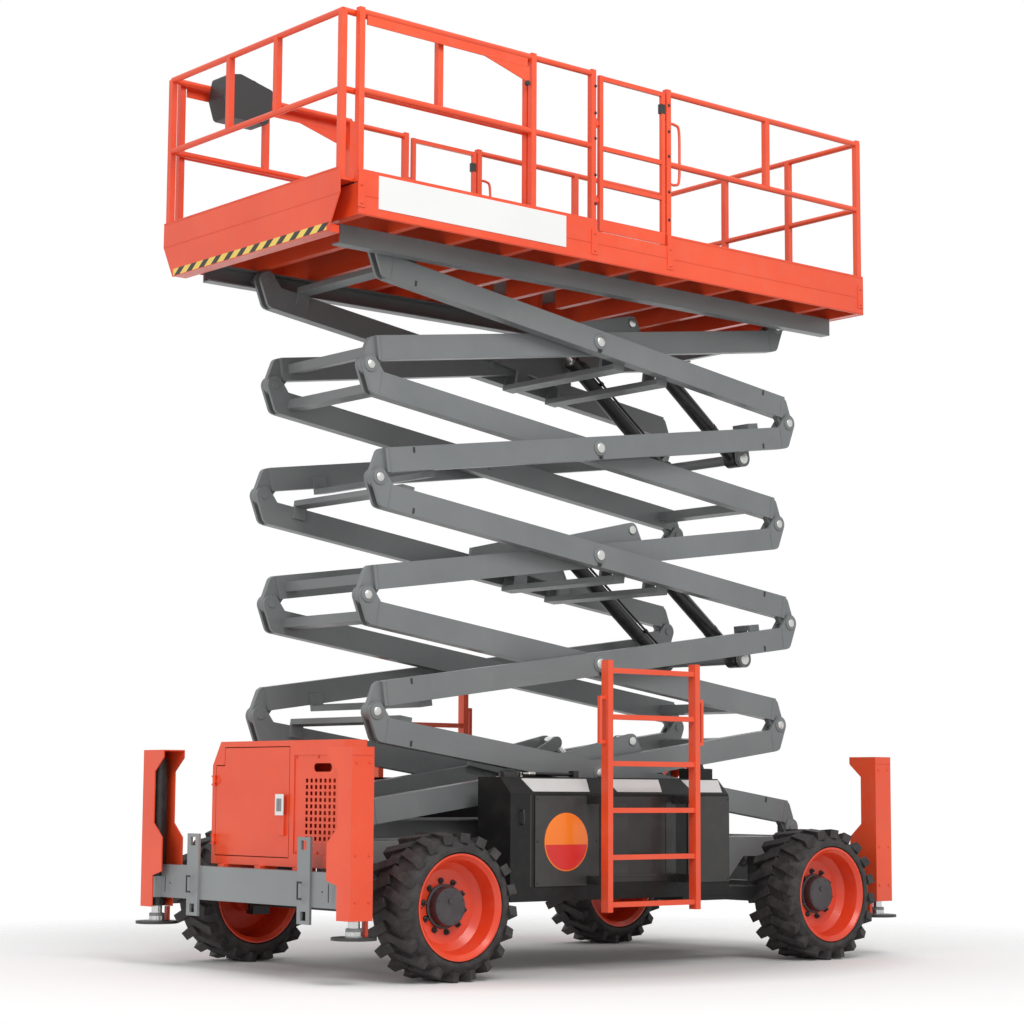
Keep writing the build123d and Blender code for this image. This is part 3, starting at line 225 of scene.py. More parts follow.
orange = enamel("orange enamel", rgb(0.86, 0.086, 0.022), rgb(0.78, 0.066, 0.017))
# The ladder's parts nearer to the middle plane than 1.084 m get painted shade in plain black.
ladder_orange_with_painted_shade = enamel("ladder orange with painted shade", rgb(0.86, 0.086, 0.022), rgb(0.78, 0.066, 0.017), painted_shade_within=1.084)
arm_grey = enamel("arm grey", rgb(0.178, 0.190, 0.192), rgb(0.152, 0.163, 0.166), 0.42)
chassis_grey = enamel("chassis grey", rgb(0.205, 0.212, 0.213), rgb(0.175, 0.182, 0.184), 0.45)
bumper_grey = enamel("bumper grey", rgb(0.245, 0.262, 0.265), rgb(0.215, 0.230, 0.233), 0.42)
deck_grey = enamel("deck grey", rgb(0.150, 0.150, 0.148), rgb(0.120, 0.120, 0.118), 0.55, 0.25)
shoulder_grey = enamel("shoulder grey", rgb(0.62, 0.61, 0.60), rgb(0.55, 0.54, 0.53), 0.30, 0.08, 0.0008)
wheel_orange = enamel("wheel orange", rgb(0.80, 0.062, 0.016), rgb(0.68, 0.045, 0.012), 0.34)
pod_black = enamel("pod black", rgb(0.011, 0.011, 0.011), rgb(0.008, 0.008, 0.008), 0.38, 0.04,
                   coat=0.0, shine=0.22)
cover_grey = enamel("cover grey", rgb(0.046, 0.046, 0.045), rgb(0.038, 0.038, 0.037), 0.40, 0.06,
                    coat=0.0, shine=0.30)
steel_black = enamel("steel black", rgb(0.016, 0.016, 0.016), rgb(0.011, 0.011, 0.011), 0.40, 0.08)
hub_black = enamel("hub black", rgb(0.040, 0.034, 0.038), rgb(0.028, 0.025, 0.028), 0.38, 0.10)
plate_white = enamel("plate white", rgb(0.82, 0.82, 0.81), rgb(0.78, 0.78, 0.77), 0.35, 0.04, 0.0006)
warning_yellow = enamel("warning yellow", rgb(0.88, 0.62, 0.12), rgb(0.84, 0.57, 0.10), 0.4, 0.05, 0.0006)
warning_orange = enamel("warning orange", rgb(0.90, 0.20, 0.01), rgb(0.84, 0.17, 0.01), 0.3, 0.03, 0.0006)
warning_black = enamel("warning black", rgb(0.012, 0.011, 0.010), rgb(0.009, 0.009, 0.008), 0.4, 0.05, 0.0006)
print(len(bpy.data.materials) - from_frame, "paints mixed")

# %% [markdown]
# ## Bare metal, rubber and plastic
#
# Chromed rods are almost mirrors, and the zinc on pin ends is duller. Rubber is dark,
# rough and grimy in patches. One shader could do them all with a dozen settings, but a
# short function for each kind shows what sets that kind apart.

# %% Chrome, zinc, rubber and plastic
def wear_on(finish):
    """Patches where use has dulled a plated surface."""
    return finish.ramp(finish.noise(28.0, 5.0, 0.6), (0.4, 0.0), (0.75, 1.0))


def bare_metal(name, colour, rough):
    """Plated steel: its colour and its roughness."""
    finish = Finish(name)
    wear = wear_on(finish)
    return finish.set({
        "Base Color": finish.mix(wear * 0.35, colour, shade(colour, 0.75)),
        "Metallic": 1.0,
        "Roughness": rough + wear * 0.12,
        "Normal": finish.bump(finish.noise(900.0, 2.0), 0.00004, 0.4, 0.0012),
    })


def plated_leg(name, pad_top):
    """Chrome down to the foot pad, which is painted dark."""
    finish = Finish(name)
    plated = finish.along(2).above(pad_top)
    wear = wear_on(finish)
    return finish.set({
        "Base Color": finish.mix(plated, rgb(0.030, 0.030, 0.030), rgb(0.60, 0.60, 0.60)),
        "Metallic": plated,
        "Roughness": 0.50 - plated * 0.34 + wear * 0.12,
        "Normal": finish.bump(finish.noise(420.0, 1.0), 0.00008, 0.4, 0.0012),
    })


def rubber(name, colour, dust):
    """Rubber: its colour, and how much dust is on it."""
    finish = Finish(name)
    grime = finish.ramp(finish.noise(14.0, 7.0, 0.7), (0.42, 0.0), (0.78, 1.0))
    return finish.set({
        "Base Color": finish.mix(grime * dust, colour, rgb(0.20, 0.18, 0.165)),
        "Roughness": 0.62 + grime * 0.22,
        "Specular IOR Level": 0.35,
        "Normal": finish.bump(finish.noise(260.0, 4.0, 0.6), 0.0006, 0.35, 0.004),
    })


def plastic(name, colour, rough):
    """Moulded plastic with a grain: its colour and its roughness."""
    finish = Finish(name)
    return finish.set({
        "Base Color": finish.mix(finish.noise(4.0) * 0.3, colour, shade(colour, 1.25)),
        "Roughness": rough + finish.noise(22.0) * 0.12,
        "Normal": finish.bump(finish.noise(700.0), 0.0002, 0.5, 0.002),
    })


chrome = bare_metal("hard chrome", rgb(0.72, 0.72, 0.73), 0.12)
zinc = bare_metal("zinc plate", rgb(0.62, 0.62, 0.60), 0.30)
leg_chrome = plated_leg("leg chrome", 0.2615)
tyre_rubber = rubber("tyre rubber", rgb(0.026, 0.023, 0.024), 0.30)
control_plastic = plastic("control plastic", rgb(0.022, 0.022, 0.023), 0.42)
grip_red = plastic("stop red", rgb(0.62, 0.02, 0.015), 0.3)
print(len(bpy.data.materials) - from_frame, "finishes in all")

# %% [markdown]
# ## Dressing the solids
#
# Each solid has a slot for its material. The slots could be filled one by one, but a
# node's name starts with what it is, so a table from the start of a name to a finish
# dresses both sides and all four corners alike.

# %% Which solid wears which finish
NODE_FINISH = (                    # start of the node's name, finish
    ("outer_arm", arm_grey), ("inner_arm", arm_grey), ("cylinder_barrels", steel_black),
    ("cylinder_rods", chrome), ("chassis_frame", chassis_grey), ("bumpers", bumper_grey),
    ("axles", steel_black), ("knuckle", steel_black), ("tyre", tyre_rubber), ("rim", wheel_orange),
    ("outrigger_towers", orange), ("outrigger_jacks", steel_black), ("outrigger_leg", leg_chrome),
    ("front_cabinet", orange), ("cabinet_door", orange), ("cabinet_grille", orange),
    ("side_pod", pod_black), ("engine_door", cover_grey), ("engine_block", steel_black),
    ("ground_controls", pod_black), ("ladder", ladder_orange_with_painted_shade), ("platform_tracks", arm_grey),
    ("platform_joists", orange), ("platform_fascia", orange), ("platform_deck", deck_grey),
    ("guard_rail", orange), ("gate", orange), ("rollout_deck", orange),
    ("rollout_rails", orange), ("platform_controls", control_plastic),
)

for node_name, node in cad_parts.items():
    chosen = [finish for start, finish in NODE_FINISH if node_name.startswith(start)]
    for slot in node.material_slots:
        slot.material = chosen[0]
print(len(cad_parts), "nodes dressed")

# %% [markdown]
# ## A kit of small shapes
#
# The fine parts are made from four shapes: a block, a turned piece, a pipe bent through
# points, and a flat outline with a thickness. They could be Blender primitives with
# modifiers, but each would be an object of its own, and there are over a hundred bolts.
# A `Part` collects such shapes in one mesh, with one finish, and rides on one body of the
# machine, so it moves when that body moves.

# %% A part made of simple shapes
class Part:
    """A mesh of simple shapes in one finish, riding on one body."""

    def __init__(self, name, finish, body):
        self.name, self.finish, self.body = name, finish, body
        self.mesh = bmesh.new()

    def block(self, low, high):
        """A square-edged block between two corners."""
        centre = [(a + b) / 2 for a, b in zip(low, high)]
        size = [abs(b - a) for a, b in zip(low, high)]
        place = Matrix.Translation(centre) @ Matrix.Diagonal((*size, 1))
        bmesh.ops.create_cube(self.mesh, size=1.0, matrix=place)

    def ring(self, middle, across, beyond, radius, sides):
        """A circle of points about a middle, in the plane of two directions."""
        turns = [math.tau * step / sides for step in range(sides)]
        return [self.mesh.verts.new(middle + (across * math.cos(turn) + beyond * math.sin(turn)) * radius)
                for turn in turns]

    def skin(self, rings):
        """Faces from each ring to the next, and one to close each end."""
        for ring, following in zip(rings, rings[1:]):
            for step in range(len(ring)):
                after = (step + 1) % len(ring)
                self.mesh.faces.new((ring[step], ring[after], following[after], following[step]))
        self.mesh.faces.new(list(reversed(rings[0])))
        self.mesh.faces.new(rings[-1])

    def turned(self, at, axis, outline, sides=24):
        """A piece turned about an axis; the outline lists distance along it and radius."""
        axis = Vector(axis).normalized()
        across = axis.orthogonal().normalized()
        beyond = axis.cross(across)
        rings = []
        for distance, radius in outline:
            middle = Vector(at) + axis * distance
            rings.append(self.ring(middle, across, beyond, radius, sides))
        self.skin(rings)

    def pipe(self, points, radius, sides=10, bends=6):
        """A round pipe that passes smoothly through the points."""
        path = smooth_path([Vector(point) for point in points], bends)
        aim = (path[1] - path[0]).normalized()
        across = aim.orthogonal().normalized()
        rings = []
        for index, middle in enumerate(path):
            ahead = path[min(index + 1, len(path) - 1)] - path[max(index - 1, 0)]
            across = (across - ahead.normalized() * across.dot(ahead.normalized())).normalized()
            beyond = ahead.normalized().cross(across)
            rings.append(self.ring(middle, across, beyond, radius, sides))
        self.skin(rings)

    def outline(self, corners, thickness):
        """A flat piece with these corners, thickened along a vector."""
        lower = [self.mesh.verts.new(Vector(corner)) for corner in corners]
        upper = [self.mesh.verts.new(Vector(corner) + Vector(thickness)) for corner in corners]
        self.mesh.faces.new(lower)
        self.mesh.faces.new(list(reversed(upper)))
        for step in range(len(corners)):
            after = (step + 1) % len(corners)
            self.mesh.faces.new((lower[step], upper[step], upper[after], lower[after]))

    def bolt(self, at, axis, radius):
        """A washer with a hexagon head on it."""
        self.turned(at, axis, ((-0.001, radius * 1.35), (radius * 0.25, radius * 1.35)), 16)
        self.turned(at, axis, ((0.0, radius), (radius * 0.8, radius), (radius * 0.95, radius * 0.8)), 6)

    def done(self):
        """Closes the mesh, dresses it and lets it ride."""
        bmesh.ops.recalc_face_normals(self.mesh, faces=self.mesh.faces)
        data = bpy.data.meshes.new(self.name)
        self.mesh.to_mesh(data)
        self.mesh.free()
        data.materials.append(self.finish)
        piece = bpy.data.objects.new(self.name, data)
        scene.collection.objects.link(piece)
        data.shade_smooth()
        data.set_sharp_from_angle(angle=math.radians(40))
        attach(piece, self.body)


def smooth_path(points, bends):
    """Points along a Catmull-Rom curve through the given ones."""
    if len(points) < 3:
        return points
    ends = [points[0] * 2 - points[1]] + points + [points[-1] * 2 - points[-2]]
    path = []
    for a, b, c, d in zip(ends, ends[1:], ends[2:], ends[3:]):
        for step in range(bends):
            t = step / bends
            path.append(0.5 * ((2 * b) + (c - a) * t + (2 * a - 5 * b + 4 * c - d) * t * t
                               + (3 * b - a - 3 * c + d) * t ** 3))
    return path + [points[-1]]


print("kit ready")

# %% [markdown]
# ## Wheels
#
# Each wheel has a dark hub that stands out of its orange dish, ten nuts on studs round it,
# and a valve near the rim. A hub could be stacked from cylinders, but it is round about its
# axle, so turning one outline, as on a lathe, gives its steps and its soft edge at once.
# The nuts are one bolt, set round a circle by a loop.

# %% Hubs, nuts and valves
WHEEL_X, WHEEL_Y, WHEEL_Z = 1.5175, 0.985, 0.41
CORNERS = (                        # name, end, side
    ("front_left", 1, 1), ("front_right", 1, -1), ("rear_left", -1, 1), ("rear_right", -1, -1))
HUB = (                            # distance out of the wheel, radius
    (0.012, 0.124), (0.030, 0.124), (0.034, 0.111), (0.074, 0.111),
    (0.084, 0.104), (0.087, 0.092), (0.083, 0.070), (0.083, 0.001))
HUB_PLUG = ((0, 0.016), (0.007, 0.016))
HUB_BOLTS, HUB_BOLT_CIRCLE, HUB_BOLT, HUB_FACE = 8, 0.092, 0.0055, 0.084
NUT_COUNT, NUT_CIRCLE, NUT, NUT_FACE = 10, 0.145, 0.0145, 0.019
STUD = ((0.0, 0.008), (0.026, 0.008), (0.028, 0.006))
VALVE = ((-0.01, 0.007), (0.030, 0.006), (0.032, 0.0045), (0.045, 0.0045))
VALVE_RADIUS = 0.232


def round_wheel(end, side, radius, turn, out):
    """A point on a circle about a wheel's axle, so far out from the wheel's middle."""
    return Vector((end * WHEEL_X + radius * math.cos(turn), side * (WHEEL_Y + out),
                   WHEEL_Z + radius * math.sin(turn)))


for corner, end, side in CORNERS:
    out = (0, side, 0)
    hub = Part(f"hub_{corner}", hub_black, f"wheel_{corner}")
    hub.turned(round_wheel(end, side, 0, 0, 0), out, HUB, 48)
    for step in range(HUB_BOLTS):
        turn = math.tau * (step + 0.5) / HUB_BOLTS
        hub.bolt(round_wheel(end, side, HUB_BOLT_CIRCLE, turn, HUB_FACE), out, HUB_BOLT)
    hub.turned(round_wheel(end, side, 0.03, math.pi / 2, 0.082), out, HUB_PLUG, 6)
    hub.done()
    nuts = Part(f"nuts_{corner}", steel_black, f"wheel_{corner}")
    for step in range(NUT_COUNT):
        at = round_wheel(end, side, NUT_CIRCLE, math.tau * (step + 0.25) / NUT_COUNT, NUT_FACE)
        nuts.bolt(at, out, NUT)
        nuts.turned(at, out, STUD, 10)
    nuts.turned(round_wheel(end, side, VALVE_RADIUS, 0, 0.060), (-0.5, side, 0), VALVE, 10)
    nuts.done()
print(len(CORNERS), "hubs, each with", NUT_COUNT, "nuts")

# %% [markdown]
# ## Where the arms are
#
# The stack is five X shapes made of equal arms, all at one angle. A place on an arm is
# easy to give along and across that arm, and hard to give in X and Z, so one function
# turns the first into the second. Everything on the stack is placed with it.

# %% Arm geometry
STAGES = 5
PIN_SPAN = 3.5025
REST_ANGLE = math.radians(11.09)
ARM_PITCH = 0.190                  # height of one stage when the stack lies flat
ARM_LENGTH = math.sqrt(PIN_SPAN ** 2 - ARM_PITCH ** 2)
ARM_TILT = REST_ANGLE - math.asin(ARM_PITCH / PIN_SPAN)
REAR_X = -1.727
FRONT_X = REAR_X + PIN_SPAN * math.cos(REST_ANGLE)
BASE_Z = 0.822
STAGE_RISE = PIN_SPAN * math.sin(REST_ANGLE)
OUTER_FACE, INNER_FACE = 0.625, 0.525


def on_arm(level, forward, reach, height, y):
    """A point given along and across the arm that starts on a pin level."""
    start, way = (REAR_X, 1) if forward else (FRONT_X, -1)
    x = start + way * (reach * math.cos(ARM_TILT) - height * math.sin(ARM_TILT))
    z = BASE_Z + level * STAGE_RISE + reach * math.sin(ARM_TILT) + height * math.cos(ARM_TILT)
    return Vector((x, y, z))


def arm_patch(part, arm, middle, size, y, thickness):
    """A flat plate on an arm's side: its middle and its size, along and across the arm."""
    reach, height = middle
    half_long, half_deep = size[0] / 2, size[1] / 2
    corners = [(reach + a * half_long, height + b * half_deep)
               for a, b in ((-1, -1), (1, -1), (1, 1), (-1, 1))]
    part.outline([on_arm(*arm, *corner, y) for corner in corners], (0, thickness, 0))


print("arm", round(ARM_LENGTH, 3), "m long, stage", round(STAGE_RISE, 3), "m high")

# %% [markdown]
# ## Pins of the scissor stack
#
# Every arm turns on pins with bright ends. A pin's end sits in a welded collar, and at
# the outer arms' middle a dark keeper plate stops it from turning. A weld bead shows where
# the end plates join the tube. A bead could be a bump in the paint, but a real thin plate
# also shows from the side, so all of these are turned outlines and thin plates.

# %% What sits on an arm
PIN_END = ((-0.004, 0.026), (0.004, 0.026), (0.008, 0.020), (0.009, 0.001))
CENTRE_END = ((-0.004, 0.031), (0.006, 0.031), (0.010, 0.025), (0.011, 0.001))
END_COLLAR = ((-0.002, 0.046), (0.005, 0.046), (0.0065, 0.043))
CENTRE_COLLAR = ((-0.002, 0.050), (0.005, 0.050), (0.007, 0.047))
END_PROUD, CENTRE_PROUD = 0.005, 0.006          # how far the pins stand out of the arm's side
MIDDLE = (ARM_LENGTH / 2, ARM_PITCH / 2)
KEEPER_DROP, KEEPER_SIZE, KEEPER_THICK = 0.060, (0.020, 0.024), 0.008
KEEPER_BOLT_DROP, KEEPER_BOLT = 0.058, 0.007
SLOTS = ((0.27, 0.145), (ARM_LENGTH - 0.27, 0.048))
SLOT_SIZE, SLOT_THICK = (0.012, 0.032), 0.004
WELD_REACH, WELD_HEIGHT = 0.088, 0.095
WELD_SIZE, WELD_THICK, WELD_SUNK = (0.006, 0.138), 0.0028, 0.001


def end_pin(bright, collar, arm, side, face):
    """The pin at an arm's upper end."""
    out = (0, side, 0)
    collar.turned(on_arm(*arm, ARM_LENGTH, ARM_PITCH, side * face), out, END_COLLAR, 32)
    bright.turned(on_arm(*arm, ARM_LENGTH, ARM_PITCH, side * (face + END_PROUD)), out, PIN_END, 24)


def centre_pin(bright, dark, collar, arm, side, face):
    """The pin at an arm's middle, with its keeper, and the two small slots in the arm."""
    out = (0, side, 0)
    middle = on_arm(*arm, *MIDDLE, side * (face + CENTRE_PROUD))
    bright.turned(middle, out, CENTRE_END, 28)
    collar.turned(on_arm(*arm, *MIDDLE, side * face), out, CENTRE_COLLAR, 32)
    keeper = (MIDDLE[0], MIDDLE[1] - KEEPER_DROP)
    arm_patch(dark, arm, keeper, KEEPER_SIZE, side * face, side * KEEPER_THICK)
    on_keeper = Vector((0, side * (KEEPER_THICK - CENTRE_PROUD), -KEEPER_BOLT_DROP))
    dark.bolt(middle + on_keeper, out, KEEPER_BOLT)
    for slot in SLOTS:
        arm_patch(dark, arm, slot, SLOT_SIZE, side * face, side * SLOT_THICK)


def weld_beads(collar, arm, side, face):
    """A bead near each end of an arm."""
    y = side * (face - WELD_SUNK)
    for reach in (WELD_REACH, ARM_LENGTH - WELD_REACH):
        arm_patch(collar, arm, (reach, WELD_HEIGHT), WELD_SIZE, y, side * WELD_THICK)


print("pin kit ready")

# %% [markdown]
# The arms of neighbouring stages lean opposite ways. The top outer arm's end is a roller
# in the platform's track, so it gets no pin end.

# %% Collars, pin ends and keepers
for stage in range(1, STAGES + 1):
    odd = stage % 2 == 1
    for kind, face, forward in (("outer", OUTER_FACE, odd), ("inner", INNER_FACE, not odd)):
        arm = (stage - 1, forward)
        body = f"{kind}_arm_{stage}"
        bright = Part(f"pin_ends_{body}", zinc, body)
        dark = Part(f"keepers_{body}", steel_black, body)
        collar = Part(f"collars_{body}", arm_grey, body)
        for side in (1, -1):
            if kind == "inner" or stage < STAGES:
                end_pin(bright, collar, arm, side, face)
            if kind == "outer":
                centre_pin(bright, dark, collar, arm, side, face)
            weld_beads(collar, arm, side, face)
        for part in (bright, dark, collar):
            if len(part.mesh.verts):
                part.done()
print("pins on", 2 * STAGES, "arm frames")

# %% [markdown]
# ## Cylinders
#
# Each barrel carries a thin steel pipe to its rod end, held by two straps, with a hexagonal
# port at its foot.

# %% Where a cylinder lies, and its pipe
CYLINDER_Y, BARREL_RADIUS, BARREL_LENGTH = 0.345, 0.048, 1.08
FOOT_REACH, FOOT_DROP = 0.270, 0.205
HEAD_REACH, HEAD_RISE = 1.325, 0.365
PIPE_RADIUS, PIPE_GAP = 0.0085, 0.013
PIPE_STATIONS = (0.10, 0.30, 0.60, 0.90, 1.00)
STRAPS, STRAP_WIDTH = (0.28, 0.80), 0.022
PORT_AT = 0.085
PORT = ((BARREL_RADIUS - 0.01, 0.019), (BARREL_RADIUS + 0.016, 0.019), (BARREL_RADIUS + 0.020, 0.014))


def cylinder_ends(level):
    """The foot and the head of the cylinders that start on a pin level."""
    tilt = ARM_TILT if level else 0.0
    x = REAR_X + FOOT_REACH * math.cos(tilt) - FOOT_DROP * math.sin(tilt)
    z = BASE_Z + level * STAGE_RISE - FOOT_REACH * math.sin(tilt) - FOOT_DROP * math.cos(tilt)
    return Vector((x, 0, z)), on_arm(level, True, HEAD_REACH, HEAD_RISE, 0)


def barrel_pipe(lines, base, along, above, inward):
    """A pipe along one barrel, with its straps and its port."""
    off = (above * 0.7 + inward * 0.7).normalized() * (BARREL_RADIUS + PIPE_GAP)
    run = [base + along * distance + off for distance in PIPE_STATIONS]
    first, last = base + along * PORT_AT + off * 0.7, base + along * 1.035 + off * 0.75
    lines.pipe([first, *run, last], PIPE_RADIUS)
    band = BARREL_RADIUS + 0.0025
    for distance in STRAPS:
        lines.turned(base, along, ((distance, band), (distance + STRAP_WIDTH, band)), 32)
        lines.turned(base + along * distance + off, along, ((0, 0.013), (STRAP_WIDTH, 0.013)), 12)
    lines.turned(base + along * PORT_AT + inward * 0.01, (above + inward * 0.6).normalized(), PORT, 6)


print("pipe stations", PIPE_STATIONS)

# %% [markdown]
# The gland is the ring where the rod comes out of the barrel. The pins through the gussets
# and hangers have bright ends. The lowest pair stands on the chassis, and each of the other
# two on the arm below it, so the ends at the foot ride on that arm and not on the barrel.

# %% Pipes, glands and pin ends of the three pairs
GLAND = ((BARREL_LENGTH - 0.001, 0.044), (BARREL_LENGTH + 0.008, 0.044), (BARREL_LENGTH + 0.010, 0.034))
GUSSET_PIN = ((-0.004, 0.027), (0.003, 0.027), (0.005, 0.022))
HANGER_PIN = ((-0.004, 0.036), (0.003, 0.036), (0.005, 0.030))
PIN_FACE = 0.434                   # where these pins' ends start, from the middle

for pair, level in enumerate((0, 2, 4), start=1):
    foot, head = cylinder_ends(level)
    along = (head - foot).normalized()
    above = Vector((-along.z, 0, along.x))
    lines = Part(f"cylinder_lines_{pair}", steel_black, f"barrels_{pair}")
    glands = Part(f"cylinder_glands_{pair}", zinc, f"barrels_{pair}")
    for side in (1, -1):
        base = foot + Vector((0, side * CYLINDER_Y, 0))
        barrel_pipe(lines, base, along, above, Vector((0, -side, 0)))
        glands.turned(base, along, GLAND, 32)
    lines.done()
    glands.done()
    gusset = Part(f"gusset_pins_{pair}", zinc, f"outer_arm_{level + 1}")
    hanger = Part(f"hanger_pins_{pair}", zinc, f"outer_arm_{level}" if level else "chassis")
    for side in (1, -1):
        gusset.turned((head.x, side * PIN_FACE, head.z), (0, side, 0), GUSSET_PIN, 24)
        hanger.turned((foot.x, side * PIN_FACE, foot.z), (0, side, 0), HANGER_PIN, 28)
    gusset.done()
    hanger.done()
print("three pairs of cylinders trimmed")

# %% [markdown]
# ## Bumpers
#
# The bumpers' tie-down plates have a bent slot, and the beam a slit and a small hole
# beside each plate. They could be cut with a boolean, but that would change the solids, so
# they are thin dark blocks that stand barely proud of the face, which reads as a cut.

# %% Marks on the bumpers
BEAM_X, TIE_X, TIE_Y, SLIT_Y = 2.180, 2.197, 0.565, 0.83
HOLE = ((0, 0.006), (0.0015, 0.006))
TIE_MARK = (0.004, 0.0012)         # how far it is sunk, and how far it stands out


def face_mark(part, face, end, across, upward, sunk, proud):
    """A thin block on a face that looks along X: its extent in Y and in Z."""
    part.block((face - end * sunk, across[0], upward[0]), (face + end * proud, across[1], upward[1]))


chassis_dark = Part("chassis_slots", warning_black, "chassis")
for end in (1, -1):
    for y in (-TIE_Y, TIE_Y):
        for z in (0.455, 0.545):
            across, upward = (y - 0.005, y + 0.030), (z - 0.010, z + 0.002)
            face_mark(chassis_dark, end * TIE_X, end, across, upward, *TIE_MARK)
        face_mark(chassis_dark, end * TIE_X, end, (y - 0.012, y - 0.003), (0.447, 0.547), *TIE_MARK)
    for y in (-SLIT_Y, SLIT_Y):
        face_mark(chassis_dark, end * BEAM_X, end, (y - 0.004, y + 0.004), (0.44, 0.54), 0, 0.0015)
        chassis_dark.turned((end * BEAM_X, y * 0.93, 0.495), (end, 0, 0), HOLE, 12)
chassis_dark.done()
print("bumpers marked")

# %% [markdown]
# ## Cabinet
#
# The cabinet's door has a pale latch plate with a grey grip and a round lock in it, and
# six bolts stand round the grille. A latch could be modelled down to its spring, but only
# its flat plates show, so blocks are enough. It rides on the door and swings out with it.

# %% Cabinet latch and bolts
latch = Part("cabinet_latch", plate_white, "cabinet_door")
latch.block((2.0790, 0.165, 0.905), (2.0835, 0.245, 1.025))
latch.done()
latch_grip = Part("cabinet_latch_grip", bumper_grey, "cabinet_door")
latch_grip.block((2.0830, 0.182, 0.928), (2.0860, 0.228, 1.000))
latch_grip.block((2.0850, 0.190, 0.936), (2.0885, 0.204, 0.992))
latch_grip.turned((2.0855, 0.216, 0.982), (1, 0, 0), ((0, 0.006), (0.003, 0.006)), 16)
latch_grip.done()
cabinet_bolts = Part("cabinet_bolts", orange, "chassis")
for y in (0.325, 0.535, 0.745):
    for z in (0.70, 1.235):
        cabinet_bolts.bolt((2.0495, y, z), (1, 0, 0), 0.007)
cabinet_bolts.done()
print("cabinet trimmed")

# %% [markdown]
# ## Outriggers
#
# Under each tower the chromed leg ends in a grey collar on its dark pad, with an orange
# guard bar beside it. Two columns of bolts and a folded seam show on the tower's outside.
# All of it could be one piece for each corner, but the collar and the guard have to go
# down with the leg while the bolts and the seam stay, so they are separate pieces.

# %% Outrigger collars, guards and seams
TOWER_X, TOWER_FACE, LEG_Y = 2.130, 1.065, 0.999
PAD_TOP = 0.261
FOOT_COLLAR = ((-0.002, 0.052), (0.006, 0.046), (0.044, 0.046), (0.048, 0.041))

for corner, end, side in CORNERS:
    leg = f"leg_{corner}"
    x = end * TOWER_X
    foot_collar = Part(f"foot_{corner}", chassis_grey, leg)
    foot_collar.turned((x, side * LEG_Y, PAD_TOP), (0, 0, 1), FOOT_COLLAR, 28)
    foot_collar.done()
    guard = Part(f"guard_{corner}", wheel_orange, leg)
    guard.block((x - end * 0.085, side * (LEG_Y - 0.014), PAD_TOP - 0.0005),
                (x - end * 0.063, side * (LEG_Y + 0.014), 0.346))
    guard.done()
    seams = Part(f"tower_bolts_{corner}", orange, "chassis")
    for z in (0.45, 0.70, 1.20):
        for across in (0.045, -0.045):
            seams.bolt((x + end * across, side * TOWER_FACE, z), (0, side, 0), 0.007)
    seams.block((x - 0.0745, side * (TOWER_FACE - 0.0002), 1.2375),
                (x + 0.0745, side * (TOWER_FACE + 0.0022), 1.2405))
    seams.done()
print(len(CORNERS), "outriggers trimmed")

# %% [markdown]
# ## Near pod
#
# The near pod carries two grey covers, one of them with a plain round plate in two
# colours, and between them a dark recess with a few panels behind the ladder. Each could
# be a patch of another colour in the pod's paint, but a real cover has a thickness and an
# edge that catches light, so each is a thin plate on the pod's face.

# %% Pod covers and recess
POD_FACE, POD_SHOULDER, POD_TOP = 0.950, 0.095, 1.132
COVER_INNER, COVER_OUTER = 0.0035, 0.0062
RECESS_OUTER = 0.0008


def pod_panel(part, low, high, inner, outer):
    """A flat panel on the pod's face: its low and high corner, and how far it stands out."""
    part.block((low[0], POD_FACE + inner, low[1]), (high[0], POD_FACE + outer, high[1]))


cover = Part("pod_cover", cover_grey, "chassis")
pod_panel(cover, (0.300, 0.500), (0.800, 1.024), COVER_INNER, COVER_OUTER)
pod_panel(cover, (-0.800, 0.500), (-0.440, 1.024), COVER_INNER, COVER_OUTER)
cover.done()
recess = Part("pod_recess", warning_black, "chassis")
pod_panel(recess, (-0.340, 0.515), (0.260, 1.020), 0, RECESS_OUTER)
pod_panel(recess, (0.824, 0.500), (0.836, 1.030), 0, RECESS_OUTER)
recess.done()
panel = Part("pod_recess_panels", cover_grey, "chassis")
pod_panel(panel, (0.060, 0.560), (0.215, 0.985), 0, 0.004)
pod_panel(panel, (-0.300, 0.560), (-0.255, 0.985), 0, 0.004)
pod_panel(panel, (-0.160, 0.545), (0.215, 0.560), 0.0005, 0.006)
panel.done()
print("pod covers done")

# %% [markdown]
# The shoulder of each pod slopes at 45 degrees and carries three pale panels. A block would
# have to be turned to lie on it. An outline takes its corners straight from the slope, and
# is thickened square to it.

# %% Pale shoulder panels
SHOULDER_EDGE = 0.010
SHOULDER_PANELS = ((0.322, 0.833), (-0.273, 0.165), (-0.792, -0.470))    # rear and front end
PANEL_THICK = 0.003

shoulder = Part("pod_shoulders", shoulder_grey, "chassis")
slope = Vector((0, 1, 1)).normalized() * PANEL_THICK
for side in (1, -1):
    lift = Vector((0, side * slope.y, slope.z))
    low_y, low_z = side * (POD_FACE - SHOULDER_EDGE), POD_TOP - POD_SHOULDER + SHOULDER_EDGE
    high_y, high_z = side * (POD_FACE - POD_SHOULDER + SHOULDER_EDGE), POD_TOP - SHOULDER_EDGE
    for rear, front in SHOULDER_PANELS:
        corners = (Vector((rear + 0.04, low_y, low_z)), Vector((front - 0.03, low_y, low_z)),
                   Vector((front, high_y, high_z)), Vector((rear, high_y, high_z)))
        shoulder.outline([corner - lift * 0.2 for corner in corners], lift)
shoulder.done()
print(2 * len(SHOULDER_PANELS), "shoulder panels")

# %% [markdown]
# The round plate is orange, and its lower half is red inside a thin orange rim. The red
# half is an outline worked out round the circle, laid a hair above the disc so that the
# two never flicker into each other.

# %% Round plate
DISC_X, DISC_Z, DISC_RADIUS, RED_RADIUS = 0.560, 0.755, 0.170, 0.162
RED_STEPS = 32

